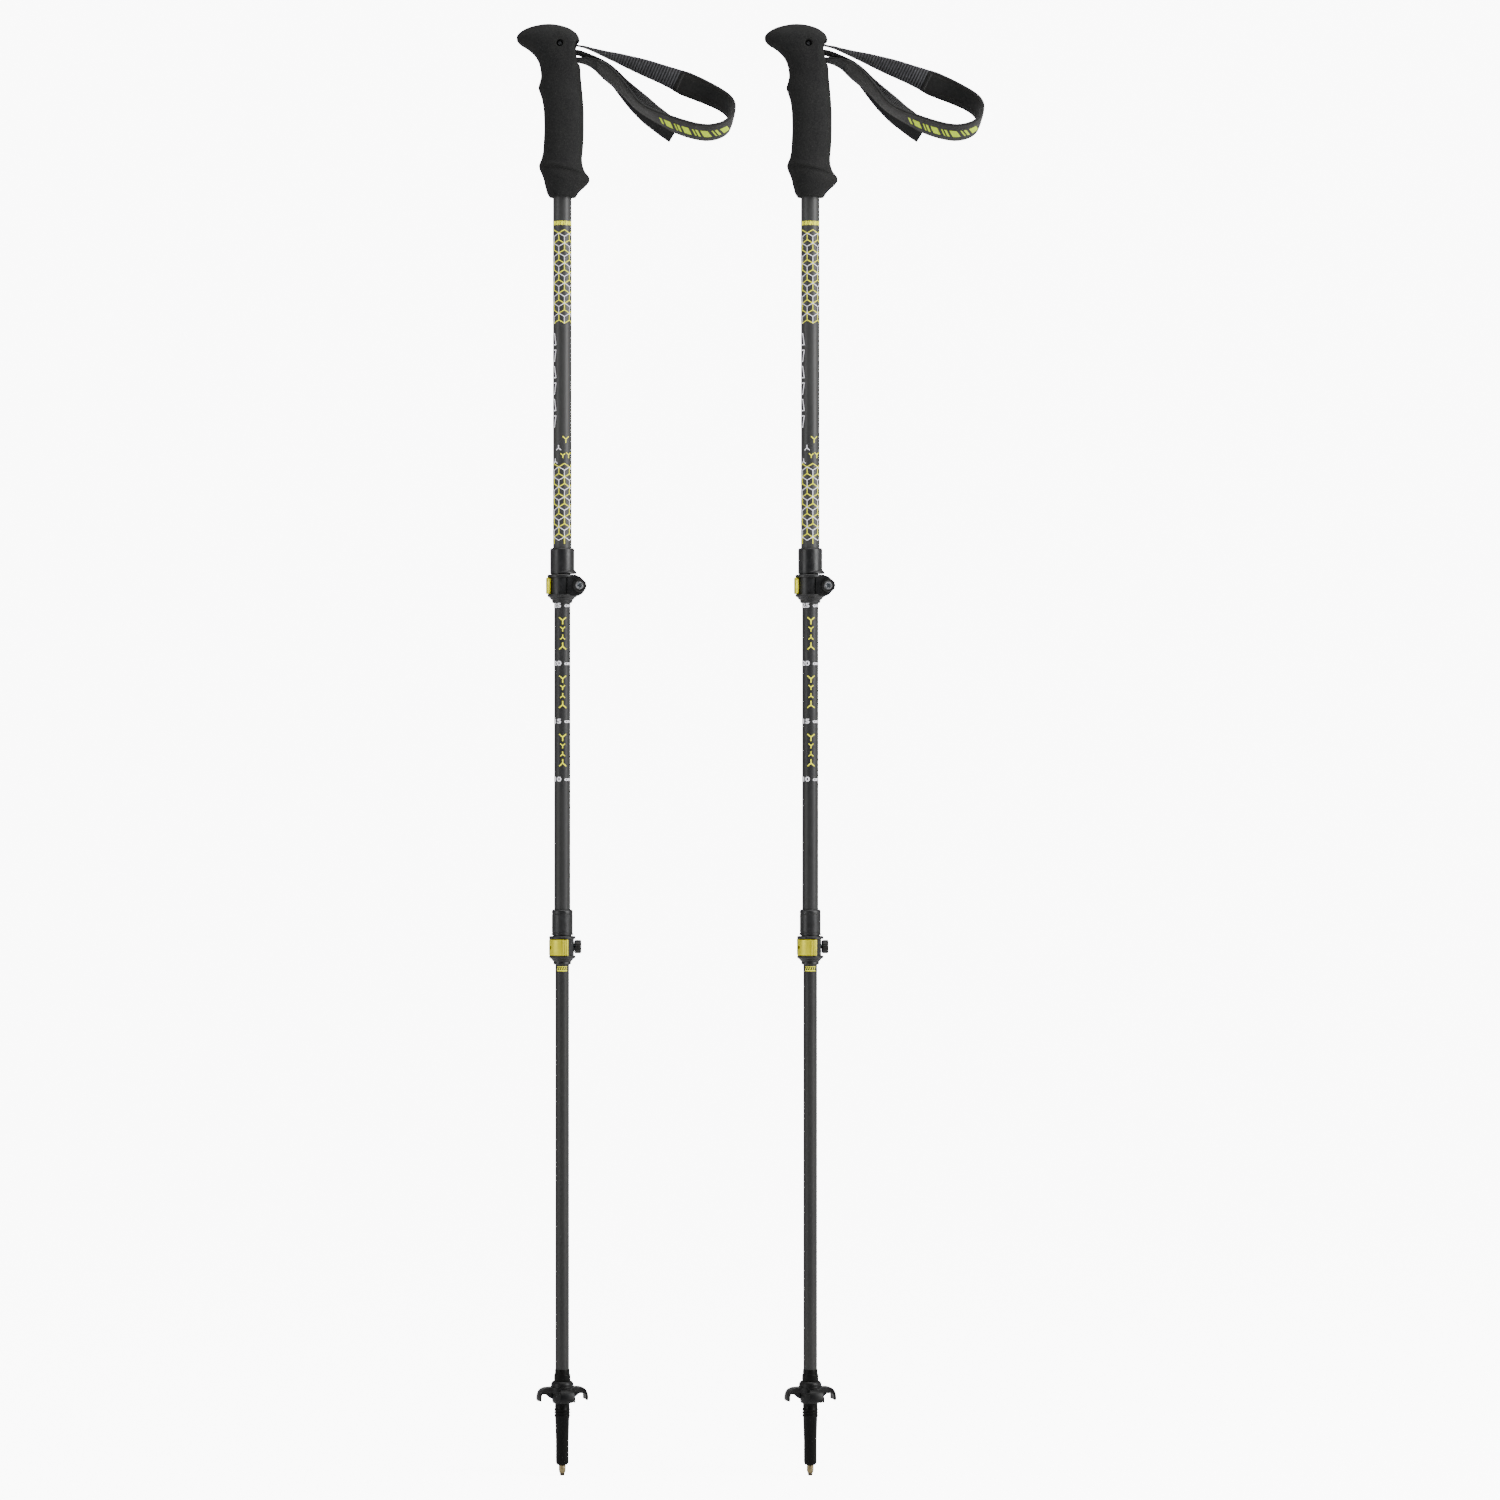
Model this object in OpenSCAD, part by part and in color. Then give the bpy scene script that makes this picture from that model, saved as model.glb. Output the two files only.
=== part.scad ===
// A pair of three-section telescopic trekking poles with outside lever clamps.
// Millimetres. +Z up, +X towards the wrist straps and the second pole.
// Origin: the point of the left pole's tip, on that pole's axis.

/* [Pair] */
// Distance between the axes of the two poles
pole_gap = 214.5; // [200:0.5:300]

/* [Shafts] */
// Outside diameter of the lower shaft
lower_d = 12; // [11.6:0.1:12.4]
// How much each shaft's diameter grows on the one below it
step_d = 2; // [2:0.1:2.2]
// Gap on the radius between one shaft and the next
slide_gap = 0.1; // [0.05:0.01:0.15]
// Height where the lower shaft ends inside the middle one
lower_top = 520; // [500:1:522]
// Height where the middle shaft ends inside the upper one
middle_top = 880; // [878:1:900]
// Height where the upper shaft ends inside the grip
upper_top = 1215; // [1200:1:1215]

/* [Clamps] */
// Height of the middle of the upper clamp's lever
upper_clamp_z = 769.5; // [765:0.5:775]
// Height of the middle of the lower clamp's lever
lower_clamp_z = 457; // [450:0.5:465]
// Outside radius of the upper clamp's sleeve
upper_sleeve_r = 10.5; // [10.4:0.1:10.8]
// Outside radius of the lower clamp's sleeve
lower_sleeve_r = 9.1; // [9:0.1:9.6]
// Direction the upper clamp's screw side faces, about +Z
upper_clamp_turn = 0; // [-90:5:90]
// Direction the lower clamp's screw side faces, about +Z
lower_clamp_turn = 90; // [0:5:180]
// Height of each lever
lever_h = 14.2; // [13:0.1:14.3]
// Angle at which the lever's finger tab ends, round the sleeve from the screw
lever_end = 207; // [207:1:214]

/* [Grip] */
// Height of the grip's lower mouth
grip_z = 1105.5; // [1100:0.5:1106]
// Diameter of the pin that holds the strap
strap_pin_d = 3; // [2.5:0.1:3.2]

/* [Strap] */
// Width of the webbing
web_w = 20; // [18:0.5:20]
// Thickness of the webbing
web_t = 1.7; // [1.2:0.1:1.9]
// Width of the padded band
pad_w = 22; // [20:0.5:22]
// Thickness of the padded band
pad_t = 3; // [2:0.1:3.2]

/* [Tip] */
// Radius of the straight part a rubber foot pushes over
foot_r = 5.6; // [5.5:0.05:5.7]
// Reach of the basket's petals from the axis
basket_r = 22.6; // [21:0.1:26]
// Radius of the arched opening between two petals
petal_gap_r = 10.4; // [9.8:0.1:10.6]

/* [Hidden] */
$fn = 72;
tiny = 0.02;  // overlap or clearance that keeps faces from coinciding
through = 30; // half length of a hole cut right through along Y

lower_r = lower_d / 2;
middle_r = lower_r + step_d / 2;
upper_r = middle_r + step_d / 2;
lower_wall = 0.9;
middle_wall = middle_r - lower_r - slide_gap;
upper_wall = upper_r - middle_r - slide_gap;
lower_bottom = 66;

nylon = [0.12, 0.12, 0.125];
gold = [0.86, 0.8, 0.36];
steel = [0.72, 0.74, 0.76];
acetal = [0.8, 0.8, 0.78];
guide_white = [0.86, 0.86, 0.84];

// ---------- helpers ----------

// A plain tube between two heights
module tube(radius, wall, z0, z1) {
    difference() {
        translate([0, 0, z0]) cylinder(h = z1 - z0, r = radius);
        translate([0, 0, z0 - 1]) cylinder(h = z1 - z0 + 2, r = radius - wall);
    }
}

// A flat shape drawn in X and Z, standing from y0 to y1
module in_xz(y0, y1) {
    translate([0, y1, 0]) rotate([90, 0, 0]) linear_extrude(height = y1 - y0) children();
}

// A round bar or hole along Y
module bar_y(x, z, radius, y0, y1) {
    translate([x, y1, z]) rotate([90, 0, 0]) cylinder(h = y1 - y0, r = radius);
}

// A skin through equal rings of points, closed at both ends
module skin(rings) {
    sides = len(rings[0]);
    last = len(rings) - 1;
    polyhedron(
        points = [for (ring = rings) for (point = ring) point],
        faces = concat(
            [[for (i = [0 : sides - 1]) i]],
            [for (k = [0 : last - 1]) for (i = [0 : sides - 1])
                [k * sides + i, (k + 1) * sides + i, (k + 1) * sides + (i + 1) % sides]],
            [for (k = [0 : last - 1]) for (i = [0 : sides - 1])
                [k * sides + i, (k + 1) * sides + (i + 1) % sides, k * sides + (i + 1) % sides]],
            [[for (i = [sides - 1 : -1 : 0]) last * sides + i]]
        )
    );
}

// ---------- shafts ----------

// Height above a clamp's middle where the outer shaft starts in the sleeve
seat_z = 11;

module upper_shaft() color([0.33, 0.33, 0.32])
    tube(upper_r, upper_wall, upper_clamp_z + seat_z, upper_top);

module middle_shaft() color([0.25, 0.25, 0.25])
    tube(middle_r, middle_wall, lower_clamp_z + seat_z, middle_top);

module lower_shaft() color([0.23, 0.23, 0.22])
    tube(lower_r, lower_wall, lower_bottom, lower_top);

// Nylon end plug on the shaft end at height z, which centres it in the bore of the next shaft
module guide(shaft_r, wall, z) {
    bore = shaft_r - wall;
    plug_r = bore - 0.05;
    hole_r = bore * 0.45;
    rim_r = shaft_r + slide_gap - 0.05;
    groove_r = shaft_r - 0.6;
    rotate_extrude() polygon([
        [hole_r, z - 15], [bore - 0.5, z - 15], [plug_r, z - 14], [plug_r, z + tiny],
        [rim_r, z + tiny], [rim_r, z + 1.6], [groove_r, z + 2.0], [groove_r, z + 2.8],
        [rim_r, z + 3.2], [rim_r, z + 4.4], [groove_r, z + 5], [hole_r, z + 5]
    ]);
}

module middle_guide() color(guide_white) guide(middle_r, middle_wall, middle_top);
module lower_guide() color(guide_white) guide(lower_r, lower_wall, lower_top);

// ---------- lever clamp, in its own frame: pole along Z, screw side at +X ----------
// The cam is at +Y and the screw's head at -Y.

flange_reach = 2.4;  // flange beyond the sleeve
seat_step = 1;       // seat's radius beyond the inner shaft's
slit_y = -3;
slit_w = 1.2;
relief_z = 9.7;      // bottom of the slot above the split collar
relief_h = 0.8;
bushing_step = 0.95; // bushing's outside radius beyond the inner shaft's
cam_r = 4.4;
cam_off = 0.5;       // cam's centre from the barrel nut's axis
barrel_r = 3;
screw_r = 1.98;
screw_hole_r = 2.3;
head_r = 3.5;
ear_r = 9;
ear_inset = 4.6;     // ear's centre from the screw's axis, towards the pole
thrust_t = 1.5;
fork_w = 5.2;

function screw_x(sleeve_r) = sleeve_r + 5.1;
function ear_x(sleeve_r) = screw_x(sleeve_r) - ear_inset;
function barrel_y(sleeve_r) = sleeve_r + flange_reach - (cam_r - cam_off);
// Face of the thrust pad that the cam presses
function thrust_y(sleeve_r) = barrel_y(sleeve_r) - cam_r - cam_off - 0.05;
// Outer face of the ear on the screw head's side
function front_y(sleeve_r) = -(sleeve_r + 0.5);

module screw_hole(sleeve_r) bar_y(screw_x(sleeve_r), 0, screw_hole_r, -through, through);

// Outside of the body, as [radius, height]
function body_profile(shaft_r, sleeve_r, flange_r) = [
    [0, -14.9], [shaft_r + 1, -14.9], [shaft_r + 1.75, -14.1],
    [flange_r - 3.9, -12.4], [flange_r - 2.3, -11], [flange_r - 2.2, -10.4],
    [flange_r - 1.6, -10.1], [flange_r - 0.5, -9.4], [flange_r, -8.5], [flange_r, -7.6],
    [flange_r - 0.3, -7.3], [sleeve_r, -7.3], [sleeve_r, 7.3], [flange_r - 0.3, 7.3],
    [flange_r, 7.6], [flange_r, 9.0], [flange_r - 0.7, 9.7], [sleeve_r - 0.5, 9.7],
    [sleeve_r - 0.5, 10.5], [sleeve_r, 10.5], [sleeve_r, 30.9], [sleeve_r - 0.2, 31.7],
    [sleeve_r - 0.7, 32.4], [sleeve_r - 1.4, 32.7], [0, 32.7]
];

// Groove round the sleeve, as [radius beyond the sleeve, height]
groove_profile = [[-0.3, 0.15], [0.1, -0.1], [1, -0.1], [1, 0.7], [0.1, 0.7], [-0.3, 0.45]];

// Sleeve glued on the outer shaft, split collar round the inner one, and the split's two ears
module clamp_body(shaft_r, sleeve_r, grooves) {
    difference() {
        union() {
            rotate_extrude() polygon(body_profile(shaft_r, sleeve_r, sleeve_r + flange_reach));
            // skirt that thickens the sleeve on the screw side
            translate([1.6, 0, 10.5]) cylinder(h = 1.5, r = sleeve_r + 0.3);
            translate([1.6, 0, 12]) cylinder(h = 2.2, r1 = sleeve_r + 0.3, r2 = sleeve_r - 1.7);
            in_xz(front_y(sleeve_r), thrust_y(sleeve_r) - thrust_t - tiny) difference() {
                translate([ear_x(sleeve_r), 0]) circle(r = ear_r);
                translate([-10, -20]) square([15, 40]);
            }
        }
        if (grooves) for (z = [12.3, 28.5]) translate([0, 0, z])
            rotate_extrude() polygon([for (p = groove_profile) [sleeve_r + p[0], p[1]]]);
        // bore for the bushing, seat for the outer shaft, wiper lip
        translate([0, 0, -13.1]) cylinder(h = 24.1, r = shaft_r + bushing_step + tiny);
        translate([0, 0, seat_z - tiny]) cylinder(h = 30, r = shaft_r + seat_step + tiny);
        translate([0, 0, -20]) cylinder(h = 20, r = shaft_r + 0.4);
        // split between the ears, and the relief slot that lets the collar close
        translate([3, slit_y - slit_w / 2, -11.6]) cube([30, slit_w, 22.1]);
        translate([-3, -30, relief_z]) cube([40, 60, relief_h]);
        screw_hole(sleeve_r);
    }
}

// Split bushing that grips the inner shaft
module clamp_bushing(shaft_r) {
    difference() {
        tube(shaft_r + bushing_step, 0.9, -13.05, 9.4);
        translate([0, slit_y - slit_w / 2, -20]) cube([30, slit_w, 40]);
    }
}

// Hard plate the cam rubs on
module thrust_pad(sleeve_r) {
    plate_h = 13.8;
    difference() {
        in_xz(thrust_y(sleeve_r) - thrust_t, thrust_y(sleeve_r)) intersection() {
            translate([ear_x(sleeve_r), 0]) circle(r = ear_r - 0.3);
            translate([ear_x(sleeve_r) + 0.3, -plate_h / 2]) square([20, plate_h]);
        }
        screw_hole(sleeve_r);
    }
}

// Cross pin the lever turns on, with the tapped hole for the screw
module barrel_nut(sleeve_r) {
    barrel_h = 9.4;
    difference() {
        translate([screw_x(sleeve_r), barrel_y(sleeve_r), -barrel_h / 2])
            cylinder(h = barrel_h, r = barrel_r);
        bar_y(screw_x(sleeve_r), 0, screw_r + tiny, -through, through);
    }
}

// The lever's outer edge in plan, as [angle round the sleeve, height above the blade]:
// the blade, then the ribbed finger tab
lever_edge = concat(
    [for (a = [90 : 4 : 182]) [a, 0]],
    [
        [184.2, 0.1], [185.6, 1.1], [186.4, 1.3], [188.3, 1.3], [189.6, 0.7], [191.6, 0.7],
        [192.8, 1.3], [196.6, 1.3], [197.4, 0.8], [198.6, 0.8], [199.6, 1.3],
        [lever_end - 1, 1.3], [lever_end, 0.9]
    ]
);

module lever(sleeve_r) {
    blade_r = sleeve_r + flange_reach;
    inner_r = sleeve_r + 0.35;
    axis_x = screw_x(sleeve_r);
    axis_y = barrel_y(sleeve_r);
    difference() {
        translate([0, 0, -lever_h / 2]) union() {
            linear_extrude(height = lever_h) polygon(concat(
                [for (a = [90 : 4 : 202]) inner_r * [cos(a), sin(a)]],
                [inner_r * [cos(lever_end), sin(lever_end)]],
                [for (i = [len(lever_edge) - 1 : -1 : 0]) let (edge = lever_edge[i])
                    (blade_r + edge[1]) * [cos(edge[0]), sin(edge[0])]],
                [[axis_x - 0.2, blade_r - 0.02], [axis_x - 0.2, blade_r - 0.6],
                    [axis_x - 2.5, inner_r]]
            ));
            translate([axis_x, axis_y - cam_off, 0]) cylinder(h = lever_h, r = cam_r);
        }
        translate([axis_x, axis_y, -20]) cylinder(h = 40, r = barrel_r + 0.05);
        // knuckle rounded to the ears' outline
        in_xz(-50, 50) difference() {
            translate([ear_x(sleeve_r), -20]) square([20, 40]);
            translate([ear_x(sleeve_r), 0]) circle(r = ear_r - 0.1);
        }
        // fork: room for the screw while the lever swings open
        translate([axis_x - 2.7, axis_y - 20, -fork_w / 2]) cube([20, 40, fork_w]);
        // hole in the blade
        rotate([0, 0, 116]) translate([sleeve_r - 2, 0, 0]) rotate([0, 90, 0])
            cylinder(h = 10, r = 1.75);
    }
}

// Socket screw that sets how hard the lever clamps
module tension_screw(sleeve_r) {
    axis_x = screw_x(sleeve_r);
    face_y = front_y(sleeve_r);
    difference() {
        union() {
            bar_y(axis_x, 0, screw_r, face_y - 2.5, barrel_y(sleeve_r) + 2.2);
            bar_y(axis_x, 0, head_r, face_y - 5.7, face_y - 2.4);
        }
        // hexagon socket
        translate([axis_x, face_y - 3.4, 0]) rotate([90, 0, 0]) cylinder(h = 5, r = 2.3, $fn = 6);
    }
}

// Section of the thumb ring, as [radius, distance out along the screw]
knob_profile = [
    [screw_r + tiny, 0], [4.8, 0], [5.9, 1.0], [5.9, 5.0], [5.3, 6.0], [4.3, 6.1],
    [3.6, 5.4], [head_r + tiny, 2.1], [screw_r + tiny, 2.05]
];
flutes = 12;

// Fluted thumb ring pressed on the screw's head
module screw_knob(sleeve_r) {
    translate([screw_x(sleeve_r), front_y(sleeve_r) - 0.3, 0]) rotate([90, 0, 0]) difference() {
        rotate_extrude() polygon(knob_profile);
        for (k = [0 : flutes - 1]) rotate([0, 0, (k + 0.5) * 360 / flutes])
            translate([6.75, 0, -1]) cylinder(h = 9, r = 1.15, $fn = 32);
    }
}

// The two clamps in place on a pole
module place_clamp(z, turn) translate([0, 0, z]) rotate([0, 0, turn]) children();
module on_upper() place_clamp(upper_clamp_z, upper_clamp_turn) children();
module on_lower() place_clamp(lower_clamp_z, lower_clamp_turn) children();

module upper_clamp_body() on_upper() color(nylon) clamp_body(middle_r, upper_sleeve_r, false);
module upper_clamp_bushing() on_upper() color(acetal) clamp_bushing(middle_r);
module upper_thrust_pad() on_upper() color(steel) thrust_pad(upper_sleeve_r);
module upper_barrel_nut() on_upper() color(steel) barrel_nut(upper_sleeve_r);
module upper_lever() on_upper() color(gold) lever(upper_sleeve_r);
module upper_tension_screw() on_upper() color(steel) tension_screw(upper_sleeve_r);
module upper_screw_knob() on_upper() color(nylon) screw_knob(upper_sleeve_r);

module lower_clamp_body() on_lower() color(nylon) clamp_body(lower_r, lower_sleeve_r, true);
module lower_clamp_bushing() on_lower() color(acetal) clamp_bushing(lower_r);
module lower_thrust_pad() on_lower() color(steel) thrust_pad(lower_sleeve_r);
module lower_barrel_nut() on_lower() color(steel) barrel_nut(lower_sleeve_r);
module lower_lever() on_lower() color(gold) lever(lower_sleeve_r);
module lower_tension_screw() on_lower() color(steel) tension_screw(lower_sleeve_r);
module lower_screw_knob() on_lower() color(nylon) screw_knob(lower_sleeve_r);

// ---------- grip, core and strap fittings ----------

core_r = 9.6;
core_top = 1218;     // top of the core's tube, bottom of its head
core_rise = 3;       // bottom of the core above the grip's mouth
core_fit = 0.05;     // clearance between foam and core
head_half_w = 11.8;
pin_x = -1.7;
pin_z = 1237.3;
pin_r = strap_pin_d / 2;
pin_fit = 0.05;
wedge_travel = 3.2;
grip_sides = 32;

// Stations up the grip: height above the mouth, x at the -X side, x at the +X side,
// x where it is widest along Y, half width along Y, squareness at -X and at +X
grip_rows = [
    [0, -11, 11.7, 0.3, 11.3, 2, 2], [1.5, -12, 12.6, 0.3, 12.2, 2, 2],
    [4, -13.4, 14.3, 0.4, 13.2, 2, 2], [6.5, -14, 16.7, 0.8, 14, 2, 2],
    [9, -14.7, 19.5, 1.2, 14.8, 2, 2], [11.7, -15.4, 22.1, 1.5, 15.6, 2.1, 2],
    [14.3, -15.9, 23.7, 1.5, 16.3, 2.1, 2], [17, -16.7, 23.6, 1.3, 16.8, 2.1, 2],
    [19.5, -17.7, 21.9, 1, 17, 2.1, 2], [22, -18.8, 19.9, 0.6, 16.9, 2.1, 2.1],
    [24.7, -19.8, 18.7, 0.4, 16.5, 2, 2.2], [27.2, -20.2, 17.9, 0.4, 15.9, 2, 2.2],
    [30, -19.4, 17.4, 0.5, 15.3, 2, 2.2], [33.5, -18, 17.2, 0.6, 14.9, 2.1, 2.2],
    [40, -16.6, 17.8, 1, 14.6, 2.2, 2.2], [48, -16.1, 18.4, 1.2, 14.5, 2.2, 2.2],
    [60, -15.6, 18.7, 1.5, 14.5, 2.2, 2.2], [72, -15.9, 18.7, 1.5, 14.6, 2.2, 2.2],
    [82, -17, 18.2, 1.2, 14.4, 2.1, 2.2], [89.5, -19.1, 17.6, 0.8, 14.3, 2, 2.2],
    [94.7, -20.7, 17.1, 0.4, 14.2, 2, 2.2], [100, -19.3, 16.6, 0.2, 14, 2, 2.3],
    [105, -18.4, 16.1, 0, 14.1, 2, 2.6], [110.3, -18.9, 15.8, -0.4, 14.6, 2, 3.2],
    [115.5, -20.1, 15.2, -0.8, 15.2, 2, 3.8], [120.7, -22.7, 14.2, -1.2, 15.6, 2, 4],
    [125.9, -27.6, 13, -1.8, 15.9, 2, 4], [128.5, -31, 12.6, -2, 16.1, 2, 4],
    [131, -35.2, 13.2, -2.2, 16.3, 2, 3.9], [133.6, -38.1, 14.4, -2.4, 16.6, 2, 3.6],
    [136.2, -39.4, 15, -2.6, 16.6, 2, 3.3], [138.8, -39.5, 14.3, -3, 16.2, 2, 3],
    [141.4, -38.1, 12.7, -3.6, 15.2, 2, 2.7], [144, -35, 9.8, -4.6, 13.2, 2, 2.5],
    [146.6, -30.2, 5.4, -6.2, 10.2, 2, 2.3], [148.8, -23, -1, -9, 6, 2, 2],
    [149.9, -17, -6.5, -11.5, 2.6, 2, 2]
];

// Superellipse term: power 2 is round, more is squarer
function corner(value, power) = value < 0 ? -pow(-value, 2 / power) : pow(value, 2 / power);
function grip_ring(row) = [for (i = [0 : grip_sides - 1]) let (
    angle = 360 * i / grip_sides,
    cosine = cos(angle),
    mid_x = row[3],
    reach = cosine < 0 ? mid_x - row[1] : row[2] - mid_x,
    power = cosine < 0 ? row[5] : row[6]
) [mid_x + corner(cosine, power) * reach, row[4] * corner(sin(angle), power), grip_z + row[0]]];

// Side view of the core's head as [x, z], grown by grow
function head_outline(grow) = [
    [-14 - grow, 1229.2 - grow], [-14 - grow, 1244.5 + grow], [9 + grow, 1244.5 + grow],
    [9 + grow, core_top - grow], [-6.6 - grow, core_top - grow], [-7 - grow, 1222 - grow]
];

// Opening for the strap on the foam's +X side, as [x, z]
grip_window = [[8.9, 1240.0], [30, 1238.2], [30, 1218.8], [8.9, 1221.4]];

// Room for the strap inside the head, open to +X, as [x, z]
strap_cavity = [
    [-12, 1229.5], [-12, 1243.2], [-2, 1243.2], [14, 1239.3],
    [30, 1238], [30, 1219], [14, 1221.2], [-4, 1224]
];

wedge_outline = [
    [-6.4, 1234.2], [-6.4, 1240.8], [-2.4, 1240.8], [8.6, 1237.35], [8.6, 1232.25], [-5.4, 1233.2]
];

// Moulded foam grip
module grip() color([0.1, 0.1, 0.1]) difference() {
    skin([for (row = grip_rows) grip_ring(row)]);
    translate([0, 0, grip_z - 5])
        cylinder(h = core_top + core_fit - grip_z + 5, r = core_r + core_fit);
    translate([0, 0, grip_z - 5]) cylinder(h = 7.5, r = 10.5);
    in_xz(-head_half_w - core_fit, head_half_w + core_fit) polygon(head_outline(core_fit));
    in_xz(-10.9, 10.9) polygon(grip_window);
    bar_y(pin_x, pin_z, 2.9, -through, through);
}

// Hard core the foam is moulded round: tube over the shaft, and a head that holds the strap
module grip_core() color([0.16, 0.16, 0.17]) difference() {
    union() {
        translate([0, 0, grip_z + core_rise])
            cylinder(h = core_top - grip_z - core_rise + tiny, r = core_r);
        in_xz(-head_half_w, head_half_w) polygon(head_outline(0));
    }
    translate([0, 0, grip_z]) cylinder(h = upper_top + tiny - grip_z, r = upper_r + tiny);
    in_xz(-10.8, 10.8) polygon(strap_cavity);
    bar_y(pin_x, pin_z, pin_r + tiny, -through, through);
}

module strap_pin() color([0.78, 0.78, 0.8]) bar_y(pin_x, pin_z, pin_r, -12.6, 12.6);

// Wedge that nips the webbing; its slot lets it slide on the pin to let the strap run
module strap_wedge() color([0.2, 0.2, 0.21]) difference() {
    in_xz(-10.2, 10.2) polygon(wedge_outline);
    bar_y(pin_x, pin_z, pin_r + pin_fit, -through, through);
    translate([pin_x, -through, pin_z - pin_r - pin_fit])
        cube([wedge_travel, 2 * through, 2 * (pin_r + pin_fit)]);
    bar_y(pin_x + wedge_travel, pin_z, pin_r + pin_fit, -through, through);
}

// ---------- strap ----------

// Circle round the swing axis that parts the strap's fixed ends from the loop that swings
swing_x = 13;
swing_z = 1231;
swing_r = 11.9;

// Side views of the fixed ends, as [x, z]: over the wedge, behind and under it,
// and the sewn end below
over_wedge = [
    [-10, 1241.2], [-9.2, 1242.6], [-2.6, 1242.6], [13.4, 1237.75], [20.6, 1236.15],
    [28, 1233.6], [28, 1231.9], [20.4, 1234.45], [13.2, 1236.05], [-2.4, 1240.9], [-9.2, 1240.9]
];
under_wedge = [
    [-11.2, 1232.5], [-11.2, 1241], [-9.2, 1242.6], [-9.5, 1241], [-9.5, 1233.5],
    [-9, 1233.1], [13.6, 1231.55], [18.52, 1229.99], [29, 1224.6], [28.2, 1223.1],
    [17.88, 1228.41], [13.2, 1229.85], [-10, 1231.2]
];
sewn_end = [
    [-4.6, 1226.9], [13.75, 1225.13], [19.81, 1224.02], [28, 1221.3],
    [27.4, 1219.7], [19.39, 1222.38], [13.45, 1223.47], [-4.6, 1225]
];

// Stations along each run: x, y, z, angle of the width in X-Z, tilt of the width out of Y
web_run = [
    [13.3, 0, 1236.9, 72, -6], [20.5, 0, 1235.3, 71, -4], [28, 0, 1232.7, 70, 0],
    [38, 0, 1229.3, 70, 8], [48, 0.5, 1226.2, 70, 17], [58, 1.5, 1222.8, 70, 26],
    [72, 3.5, 1218.1, 70, 38], [87, 6, 1212.8, 69, 48], [96, 7.5, 1209.4, 68, 59],
    [101, 8.3, 1207.4, 68, 66]
];
pad_run = [
    [101.3, 8.4, 1207.2, 68, 66], [110.5, 9.6, 1203.4, 67, 63], [119, 10, 1199.9, 66, 58],
    [128, 9, 1195.7, 65, 51], [137, 6.3, 1190.7, 64, 45], [143.6, 2.3, 1185.3, 66, 41],
    [146.9, -2.6, 1179.2, 70, 38], [146.6, -7.6, 1172.5, 74, 36], [143.3, -11.8, 1166.4, 77, 34],
    [136.8, -14.6, 1162, 78, 33], [127, -15.6, 1159.8, 79, 32], [117.2, -15.4, 1160.7, 78, 31],
    [107.3, -14.4, 1163.3, 75, 30], [97.3, -13.2, 1166.9, 70, 27], [87.8, -12, 1171.3, 63, 21],
    [79.5, -11, 1175.4, 57, 16], [71.5, -10.2, 1179.8, 50, 13], [63.6, -9.6, 1186.2, 43, 13],
    [54.9, -8.6, 1196.5, 42, 17], [46.8, -7, 1205.4, 44, 23], [38.6, -5, 1213, 48, 26],
    [32.2, -3.4, 1217.8, 53, 23]
];
return_run = [
    [30.7, -3.1, 1218.6, 54, 22], [25.5, -1.8, 1221.3, 62, 15],
    [19.6, -0.7, 1223.2, 68, 8], [13.6, 0, 1224.3, 72, 4]
];
tail_run = [
    [13.4, 0, 1230.7, 74, 4], [18.2, 0.2, 1229.2, 70, 6], [23.6, 0.8, 1226.6, 64, 10],
    [29.4, 1.7, 1223.2, 58, 17], [36.4, 2.8, 1218.3, 52, 25], [43.6, 3.8, 1211.6, 47, 32],
    [50.3, 4.5, 1204, 44, 38], [56.8, 5, 1196.8, 43, 46], [63.8, 5.4, 1189.5, 43, 56],
    [70.2, 5.7, 1183.3, 44, 62], [76.3, 5.8, 1177.6, 46, 64], [83.3, 5.6, 1172.2, 47, 64],
    [90, 5, 1167, 47, 63], [97.2, 4.2, 1161.8, 47, 62]
];

function unit(v) = v / norm(v);
function place(station) = [station[0], station[1], station[2]];
// Direction across a band, before it is squared to the run
function across(station) = let (angle = station[3], tilt = station[4])
    [sin(tilt) * cos(angle), -cos(tilt), sin(tilt) * sin(angle)];

// A flat band that follows a run of stations
module band(run, width, thick) {
    last = len(run) - 1;
    skin([for (i = [0 : last]) let (
        mid = place(run[i]),
        along = unit(place(run[min(i + 1, last)]) - place(run[max(i - 1, 0)])),
        rough = across(run[i]),
        side = unit(rough - along * (rough * along)),
        half_w = side * width / 2,
        half_t = cross(along, side) * thick / 2
    ) [mid + half_w + half_t, mid + half_w - half_t, mid - half_w - half_t, mid - half_w + half_t]]);
}

// The strap's fixed ends, out to just past the mouth
module strap_anchor() color([0.12, 0.12, 0.13]) in_xz(-web_w / 2, web_w / 2) intersection() {
    union() {
        polygon(over_wedge);
        polygon(under_wedge);
        polygon(sewn_end);
    }
    union() {
        translate([swing_x, swing_z]) circle(r = swing_r);
        translate([-12, 1200]) square([12 + swing_x, 60]);
    }
}

// Webbing of the loop that swings: the upper run to the padded band, the run back from it,
// and the free tail
module strap_webbing() color([0.13, 0.13, 0.14]) difference() {
    union() {
        band(web_run, web_w, web_t);
        band(return_run, web_w, web_t);
        band(tail_run, web_w, web_t);
    }
    bar_y(swing_x, swing_z, swing_r + 0.2, -through, through);
}

module strap_pad() color([0.15, 0.15, 0.15]) band(pad_run, pad_w, pad_t);

// ---------- tip and basket: profiles are [radius, height] ----------

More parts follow.
